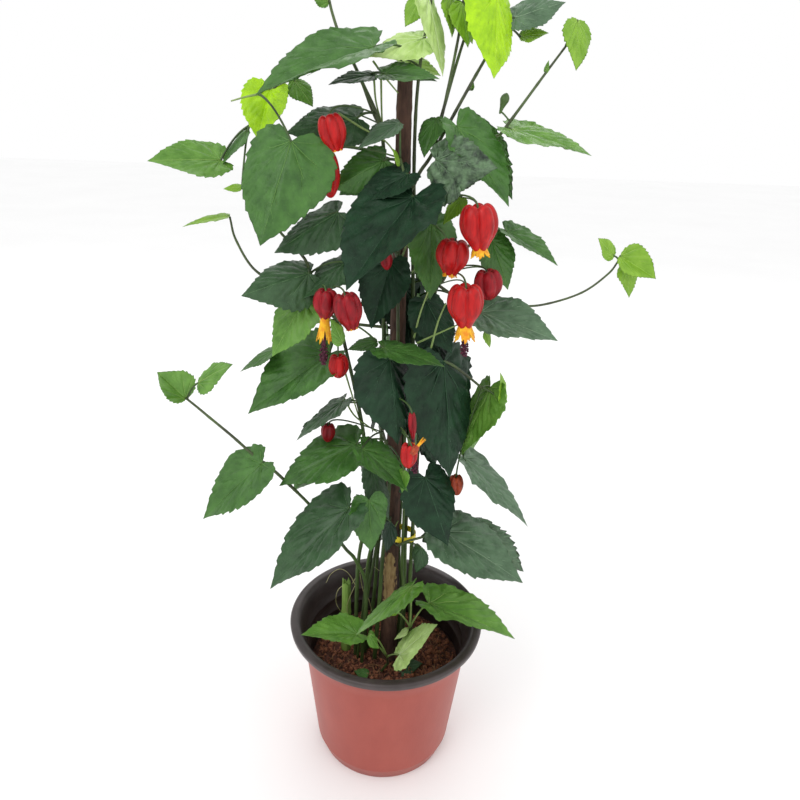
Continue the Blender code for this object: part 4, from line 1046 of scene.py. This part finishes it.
def bladeSurface(blade, flat, small):
    # joint + along * x + side * y, raised by the arch, the ruffled edge and the puckers between the veins,
    # and lowered by the edge's curl and by a groove over each vein. flat is (x, y) over the length, with
    # y as on a blade of full width
    x, y = flat[..., 0], flat[..., 1]
    w = y / leaf["halfWidth"]
    gap = veinDistance(flat, veins[small])
    inner = np.clip((1.05 - np.hypot(x, y)) * 3, 0, 1) * np.clip(np.hypot(x, y) / 0.1, 0, 1)
    wavy = waves(flat, 0.42, blade["seed"], 6) * np.abs(w) ** 2
    fine = waves(flat, 0.09, blade["seed"] + 1, 8)
    coarse = waves(flat, 0.16, blade["seed"] + 2, 8)
    rise = leaf["arch"] * 4 * np.clip(x, 0, 1) * (1 - np.clip(x, 0, 1)) - leaf["curl"] * np.abs(w) ** 2.5
    rise = rise + leaf["ruffle"] * wavy + leaf["pucker"] * fine * inner + blade["crinkle"] * coarse * inner
    rise = rise - leaf["groove"] * np.exp(-(gap / leaf["grooveWidth"]) ** 2) * inner
    side = np.where((y >= 0)[..., None], blade["sides"][0], blade["sides"][1])
    out = blade["joint"] + blade["along"] * (x * blade["length"])[..., None]
    return out + side * (np.abs(w) * blade["half"])[..., None] + blade["face"] * (rise * blade["length"])[..., None]


def bladeMesh(blade, small, level):
    # the outline drawn in ring by ring to the joint, in two layers half the thickness off the middle
    sheet = leafSheets[level]
    chance = np.random.RandomState(blade["seed"])
    smooth = outlines[small]
    sharp = [toothedOutline(small, chance) for _ in range(2)]
    toothed = np.vstack([sharp[0], (sharp[1] * (1, -1))[-2::-1]])
    plain = np.vstack([smooth, (smooth * (1, -1))[-2::-1]])
    share = np.array(leaf["rings"][level])[:, None, None]
    blend = np.clip((share - 0.7) / 0.25, 0, 1)
    middle = bladeSurface(blade, (plain * (1 - blend) + toothed * blend) * share, small)
    points = np.zeros((sheet["count"], 3))
    points[0] = blade["joint"]
    lift = blade["face"] * leaf["thick"] * mm / 2
    points[sheet["bottom"]] = middle - lift
    points[sheet["top"]] = middle + lift
    shared = sheet["top"] == sheet["bottom"]
    points[sheet["top"][shared]] = middle[shared]
    return points, sheet["quads"], sheet["fans"]


def bladeVeins(blade, small):
    # each vein is a thin tapering tube a little above the blade's middle plane
    size = min(1.0, 0.40 + blade["length"] / (90 * mm) * 0.6)
    raised = blade["face"] * leaf["veinRaise"] * mm
    for line, width in veins[small]:
        path = bladeSurface(blade, line, small) + raised
        radii = np.linspace(*leaf["veinRadius"], len(path)) * width * size * mm
        yield tube(path, radii, leaf["tubeSides"])


def nearestRoot(joint, paths):
    # the quarter point of the shoot's lines that is nearest, with half its height above the joint added
    starts = np.vstack([path[:-1] if len(path) > 1 else path for path in paths])
    ends = np.vstack([path[1:] if len(path) > 1 else path for path in paths])
    share = (np.arange(5) / 4)[None, :, None]
    places = (starts[:, None] + (ends - starts)[:, None] * share).reshape(-1, 3)
    cost = np.linalg.norm(places - joint, axis=1) + np.maximum(0, places[:, 2] - joint[2]) / 2
    return places[int(np.argmin(cost))]


def stalkPath(root, joint, end, rise, steps=11):
    # a quadratic curve from the root over its highest point to the joint, then straight to its end
    control = joint + (root - joint) * rise[0] + np.array((0, 0, rise[1] * np.linalg.norm(joint - root)))
    t = np.linspace(0, 1, steps)[:, None]
    curve = root * (1 - t) ** 2 + control * 2 * t * (1 - t) + joint * t ** 2
    return np.vstack([curve, end])


# Flower: a five-ribbed inflated calyx hangs mouth down, petals flare below it, and the column of
# stamens hangs out of them
flower = {
    "ribs": 5, "bulge": 0.42, "crease": 0.42, "sides": 90, "petalSpread": (1.15, 1.6), "columnReach": 2.2,
    "columnShows": 9.0, "columnRadius": 1.15, "headRadius": 2.3, "anthers": 26, "antherRadius": 0.85,
    "stalk": 0.7, "lobe": 0.10, "shoulder": 0.13,
    "calyx": ((0.02, 0.08), (-0.02, 0.30), (-0.02, 0.54), (0.04, 0.78), (0.15, 0.93), (0.28, 1.0),
              (0.42, 1.0), (0.58, 0.93), (0.74, 0.77), (0.88, 0.56), (1.0, 0.40)),
    "closed": ((0.02, 0.08), (-0.02, 0.30), (-0.02, 0.54), (0.04, 0.78), (0.15, 0.93), (0.28, 1.0),
               (0.42, 1.0), (0.58, 0.93), (0.74, 0.76), (0.88, 0.52), (0.97, 0.27), (1.0, 0.05)),
    "club": ((0.0, 0.18), (0.1, 0.30), (0.3, 0.52), (0.5, 0.80), (0.65, 1.0), (0.8, 0.92), (0.92, 0.6),
             (1.0, 0.16)),
    "rise": (0.0, 0.30), "petioleRise": (0.5, 0.22),
    "looks": {"red": 0, "crimson": 1, "rust": 2, "club": 0},
}


def hang(points, top, down, spin=0.0):
    # local +Z becomes the hanging direction, with -Y of the turn to the viewer at spin 0
    fixed = np.array((0.0, 1.0, 0.0)) if abs(down[1]) < 0.9 else np.array((1.0, 0.0, 0.0))
    aside = unit(np.cross(fixed, down))
    other = np.cross(down, aside)
    x, y = turnedFlat(points[:, :1], points[:, 1:2], spin)
    return top + x * aside + y * other + points[:, 2:] * down


def ribbed(turn):
    # 0 in the creases and 1 on the ribs, with a crease at -Y
    return np.abs(np.sin(flower["ribs"] / 2 * (turn + math.pi / 2))) ** flower["crease"]


def lantern(profile, length, radius, bulge, lobe):
    # radius by the profile times 1 + bulge * (rib - 0.8), with raised shoulders and a lobe on each rib
    line = smoothPath(np.array(profile)[:, ::-1], 4)
    depth = line[:, 1:]

    def shape(wide, height, turn):
        rib = ribbed(turn)
        body = np.clip(np.minimum((depth + 0.05) / 0.2, (1.25 - depth) / 0.5), 0, 1)
        mouth = np.clip((depth - 0.8) / 0.2, 0, 1)
        shoulder = np.clip(1 - depth / 0.25, 0, 1) * np.clip(line[:, :1] / 0.5, 0, 1)
        return (wide * (1 + bulge * (rib - 0.85) * body),
                height + lobe * length * mouth * (rib - 0.5) - flower["shoulder"] * length * shoulder * rib)

    points = turned(line * (radius, length), flower["sides"], shape)
    first, last = (0, 0, line[0, 1] * length), (0, 0, line[-1, 1] * length * 0.97)
    return closedRings(points, flower["sides"], first, last)


def petals(length, reach, radius):
    # a flared tube in five overlapping lobes, out and back in along its own wall, with a wavy edge
    spread = radius * 0.36 * np.interp(reach, (2 * mm, 12 * mm), flower["petalSpread"])
    share = np.array((0, 0, 0, 0.3, 0.6, 0.85, 1.0))
    wide = radius * 0.36 + (spread - radius * 0.36) * share ** 1.5
    wide[:2] = radius * 0.30, radius * 0.34
    height = np.concatenate([(length * 0.8, length * 0.94), length * 0.97 + reach * share[2:]])
    line = np.stack([wide, height], axis=1)
    whole = np.vstack([line, line[::-1] * (0.94, 1) - (0.4 * mm, 0)])
    flare = np.concatenate([share, share[::-1]])[:, None]

    def shape(around, tall, turn):
        lobe = np.abs(np.cos(flower["ribs"] / 2 * (turn + math.pi / 2)))
        frill = 0.09 * np.sin(15 * turn) + 0.06 * np.sin(25 * turn + 1)
        return (around * (1 + flare * (0.22 * (lobe - 0.5) + 0.9 * frill)),
                tall + flare * reach * (0.5 * (lobe - 0.8) + frill))

    points = turned(whole, flower["sides"], shape)
    return closedRings(points, flower["sides"], (0, 0, line[0, 1]), (0, 0, line[0, 1] + 0.6 * mm))


heaps, owners = {}, {}


def heap(kind, node):
    # the heap of a kind, which then stands for the node too
    owners.setdefault(kind, set()).add(node)
    return heaps.setdefault(kind, Heap())


def addColumn(node, start, end):
    # the column, then a head of anthers: small balls spread round its last third by the golden angle
    line = np.linspace(0, 1, 9)[:, None]
    path = start + (end - start) * line
    heap("stamen_columns", node).add(*tube(path, flower["columnRadius"] * mm, 8))
    count = flower["anthers"]
    golden = math.pi * (3 - math.sqrt(5))
    step = np.arange(count)
    down = unit(end - start)
    flat = np.stack([np.cos(step * golden), np.sin(step * golden), 0 * step], axis=1)
    way = 0.62 + 0.38 * step / count
    wide = flower["headRadius"] * np.sin(np.pi * np.clip((way - 0.55) / 0.5, 0, 1)) ** 0.6
    local = flat * wide[:, None] * mm
    middles = hang(local, start, down) + np.outer(way, end - start)
    small, quads, fans = ball(((0.7, 0.7), (1.0, 0.0), (0.7, -0.7)))
    for middle in middles:
        heap("stamen_columns", node).add(middle + small * flower["antherRadius"] * mm, quads, fans)


def addFlower(node, row, paths, scale):
    # a stalk from the shoot, then the calyx, the petals below it and the column, or the column alone
    x1, y1, x2, y2, depth, wide, petal, kind, spin = row
    top, mouth = place(x1, y1, depth), place(x2, y2, depth)
    down = unit(mouth - top)
    length = float(np.linalg.norm(mouth - top)) * scale
    radius = realSize(wide, top) / 2 * scale
    reach = realSize(petal, mouth) * scale
    root = nearestRoot(top, paths)
    path = stalkPath(root, top, top + down * 0.06 * length, flower["rise"])
    heap("flower_stalks", node).add(*tube(path, np.linspace(0.75, 1.0, len(path)) * flower["stalk"] * mm, 7))
    if kind == "column":
        addColumn(node, top, mouth)
        return
    profile = flower["club"] if kind == "club" else flower["calyx"] if petal else flower["closed"]
    bulge = flower["bulge"] * (0.25 if kind == "club" else 1.0)
    points, quads, fans = lantern(profile, length, radius, bulge, flower["lobe"] if petal else 0.0)
    target = heap("club_buds" if kind == "club" else "calyces", node)
    target.add(hang(points, top, down, math.radians(spin)), quads, fans, flower["looks"][kind])
    if petal:
        points, quads, fans = petals(length, reach, radius)
        heap("petals", node).add(hang(points, top, down, math.radians(spin)), quads, fans)
    if reach > flower["columnShows"] * mm:
        addColumn(node, top + down * 0.8 * length, top + down * (length + flower["columnReach"] * reach))


# Bare stalks of spent blossom cross between the stems: board x, y and depth
bareStalks = (
    ((399, 286, -8), (412, 272, -12), (432, 250, -16), (440, 240, -18)),
    ((417, 343, -36), (437, 334, -43), (457, 325, -48)),
    ((431, 348, -43), (438, 322, -42), (446, 303, -43)),
    ((414, 338, -32), (420, 314, -33), (428, 292, -34)),
    ((400, 262, -10), (409, 240, -14), (421, 218, -17)),
    ((373, 61, -8), (384, 76, -10), (398, 93, -8)),
    ((374, 80, 3), (376, 102, 4), (382, 124, 4)),
    ((381, 78, 3), (382, 120, 4), (386, 168, 4)),
    ((259, 94, -25), (245, 97, -25), (231, 101, -24)),
    ((338, 113, -14), (362, 128, -14), (385, 141, -12), (398, 158, -8)),
    ((345, 372, -12), (352, 395, -10), (361, 424, -8)),
    ((344, 398, -12), (354, 415, -11), (368, 426, -10), (377, 432, -9)),
    ((384, 545, -8), (392, 532, -10), (398, 521, -10)),
)
strands("bare_stalks", "young_stalk_rind", "green_stem", bareStalks, (0.75, 0.45), 7)


def shootStart(root, first, behind):
    # just past the thin stem's tip, or just off the trunk's surface
    if root != "trunk" and not behind:
        points, _ = stemLine(root)
        direction = unit(points[-1] - points[-2])
        return points[-1] + direction * pot["gap"] * mm, direction
    share = (first[2] - trunkFoot[2]) / (trunkTop[2] - trunkFoot[2])
    axis = trunkPoint(min(share, trunk["topShare"]))
    outward = np.array((0.0, 1.0, 0.0)) if behind else unit(np.array((*(first[:2] - axis[:2]), 0.0)))
    return axis + outward * (trunkRadius(share) + 2 * pot["gap"] * mm), outward


# Growth: the radii in mm at the foot and the tip of a shoot and of a twig, and a leaf stalk's radii by
# the share of its length
growth = {"stem": (1.35, 0.85), "twig": (1.1, 0.7), "stalkShare": (0, 0.1, 0.5, 0.9, 1),
          "stalkRadius": (1.0, 0.8, 0.65, 0.75, 0.5)}


def addShoot(node, shoot, behind=False):
    # the stem and its twigs, then each leaf with its veins and stalk, then the flowers
    board = [place(*point) for point in shoot["stem"]]
    start, direction = shootStart(shoot["root"], board[0], behind)
    lead = back["start"] if behind else 1.0
    line = np.array([start, start + direction * lead * mm, *board])
    twigs = [np.array([place(*point) for point in twig]) for twig in shoot["twigs"]]
    paths = [line[2:], *twigs]
    for path, ends in ((line, growth["stem"]), *((twig, growth["twig"]) for twig in twigs)):
        heap("shoot_stems", node).add(*woody(path, np.linspace(*ends, len(path)) * mm, 10, 8))
    chance = random.Random(f"{back['seed']} {node}")
    for number, row in enumerate(shoot["leaves"]):
        scale = chance.uniform(*back["scale"]) if behind else 1.0
        blade = bladeFrame(row, scale, behind)
        blade["seed"] = number * 31 + len(node) * 7 + (500 if behind else 0)
        tone = row[8]
        blade["crinkle"] = leaf["crinkle"] if tone == "crinkled" else 0.0
        small = blade["length"] < leaf["small"] * mm
        target = heap("leaves_" + tone, node)
        target.add(*bladeMesh(blade, small, "coarse" if small or behind else "fine"), 0)
        for vein in bladeVeins(blade, small):
            target.add(*vein, 1)
        root = nearestRoot(blade["joint"], paths)
        path = stalkPath(root, blade["joint"], blade["joint"] + blade["along"] * 0.8 * mm, flower["petioleRise"])
        radii = np.interp(np.linspace(0, 1, len(path)), growth["stalkShare"], growth["stalkRadius"]) * mm
        heap("leaf_stalks", node).add(*tube(path, radii, 7), 1 if "basal" in node else 0)
    for row in shoot["flowers"]:
        addFlower(node, row, paths, back["scale"][1] if behind else 1.0)


def backShoot(shoot, further, chance):
    # the shoot's partner behind the trunk: what is near the trunk, with each blade swung a little
    def backDepth(depth):
        return back["depth"] + further + back["stretch"] * abs(depth)

    def behind(path):
        return tuple((x, y, backDepth(depth)) for x, y, depth in path)

    middle = viewer["boardCentre"][0]
    leaves = []
    for x1, y1, x2, y2, depth1, depth2, clockwise, other, tone in shoot["leaves"]:
        if abs((x1 + x2) / 2 - middle) > back["reach"] or math.hypot(x2 - x1, y2 - y1) < back["leaf"]:
            continue
        swing = chance.uniform(-back["swing"], back["swing"])
        dx, dy = turnedFlat(x2 - x1, y2 - y1, swing)
        leaves.append((x1, y1, x1 + dx, y1 + dy, backDepth(depth1), backDepth(depth2), clockwise, other, tone))
    flowers = [(x1, y1, x2, y2, backDepth(depth), wide, petal, kind, spin)
               for x1, y1, x2, y2, depth, wide, petal, kind, spin in shoot["flowers"]
               if abs(x1 - middle) < back["reach"] and wide > back["flower"]]
    twigs = tuple(behind(twig) for twig in shoot["twigs"] if abs(twig[-1][0] - middle) < back["reach"])
    return {"root": "trunk", "stem": behind(shoot["stem"]), "twigs": twigs, "leaves": leaves, "flowers": flowers}


for node, shoot in shoots.items():
    addShoot(node, shoot)
chance = random.Random(back["seed"])
for node, further in back["shoots"].items():
    addShoot(node.replace("foliage", "foliage_back"), backShoot(shoots[node], further, chance), True)

# Fallen leaves lie on the soil: middle x and y, length and half width in mm, heading in degrees, tone
fallen = (((21.0, -11.5), 25.0, 9.0, 12.0, "deep"), ((-20.0, -21.0), 13.0, 5.0, 165.0, "mid"))
for number, ((x, y), long, half, heading, tone) in enumerate(fallen):
    along = np.array((math.cos(math.radians(heading)), math.sin(math.radians(heading)), 0.03))
    along, face = unit(along), unit(np.array((0.05, -0.25, 1.0)))
    across = unit(np.cross(along, face))
    blade = {"joint": np.array((x, y, pot["soil"] + 2.6)) * mm - along * long / 2 * mm, "length": long * mm,
             "half": half * mm, "along": along, "face": np.cross(across, along), "sides": [across, -across],
             "seed": 90 + number, "crinkle": 0.012}
    heaps["leaves_" + tone].add(*bladeMesh(blade, True, "coarse"), 0)
    for vein in bladeVeins(blade, True):
        heaps["leaves_" + tone].add(*vein, 1)
crownLooks = {"leaves_" + tone: ["leaf_cuticle_" + tone, "leaf_vein_" + tone] for tone in leafTones}
crownLooks |= {
    "shoot_stems": ["brown_green_rind"], "leaf_stalks": ["leaf_stalk_rind", "young_stalk_rind"],
    "flower_stalks": ["leaf_stalk_rind"], "calyces": ["papery_calyx", "crimson_calyx", "browning_calyx"],
    "club_buds": ["leaf_stalk_rind"], "petals": ["silky_petal"], "stamen_columns": ["velvet_stamens"],
}
for kind, looks in crownLooks.items():
    heaps[kind].make(kind, looks, "leaf_green", sorted(owners[kind]))
print("crown made")

# Studio: a pale floor, an even pale surround and three large soft lamps
studio = {"floor": 12.0, "surround": "#ffffff", "surroundPower": 1.0,
          "lamps": (("key", (-0.7, -1.0, 1.6), 0.9, 7.0), ("fill", (1.1, -0.9, 0.9), 1.2, 2.0),
                    ("back", (0.2, 1.2, 1.4), 1.2, 4.0)), "aim": (0.0, 0.0, 0.32)}
corner = studio["floor"] / 2
floorMesh = bpy.data.meshes.new("floor")
floorMesh.from_pydata([(-corner, -corner, 0), (corner, -corner, 0), (corner, corner, 0), (-corner, corner, 0)], [],
                      [(0, 1, 2, 3)])
floorMesh.materials.append(materials["pale_card"])
linked("floor", floorMesh)
world = bpy.data.worlds.new("studio")
world.use_nodes = True
background = world.node_tree.nodes["Background"].inputs
background["Color"].default_value = linear(studio["surround"])
background["Strength"].default_value = studio["surroundPower"]
bpy.context.scene.world = world
for name, where, size, power in studio["lamps"]:
    lampData = bpy.data.lights.new(name, "AREA")
    lampData.shape, lampData.size, lampData.energy = "DISK", size, power
    away = unit(np.array(where) - np.array(studio["aim"]))
    side = unit(np.cross((0, 0, 1), away))
    linked(name, lampData, (side, np.cross(away, side), away), where)
bpy.context.scene.view_settings.view_transform = "Standard"
print("studio made")

bpy.context.view_layer.update()
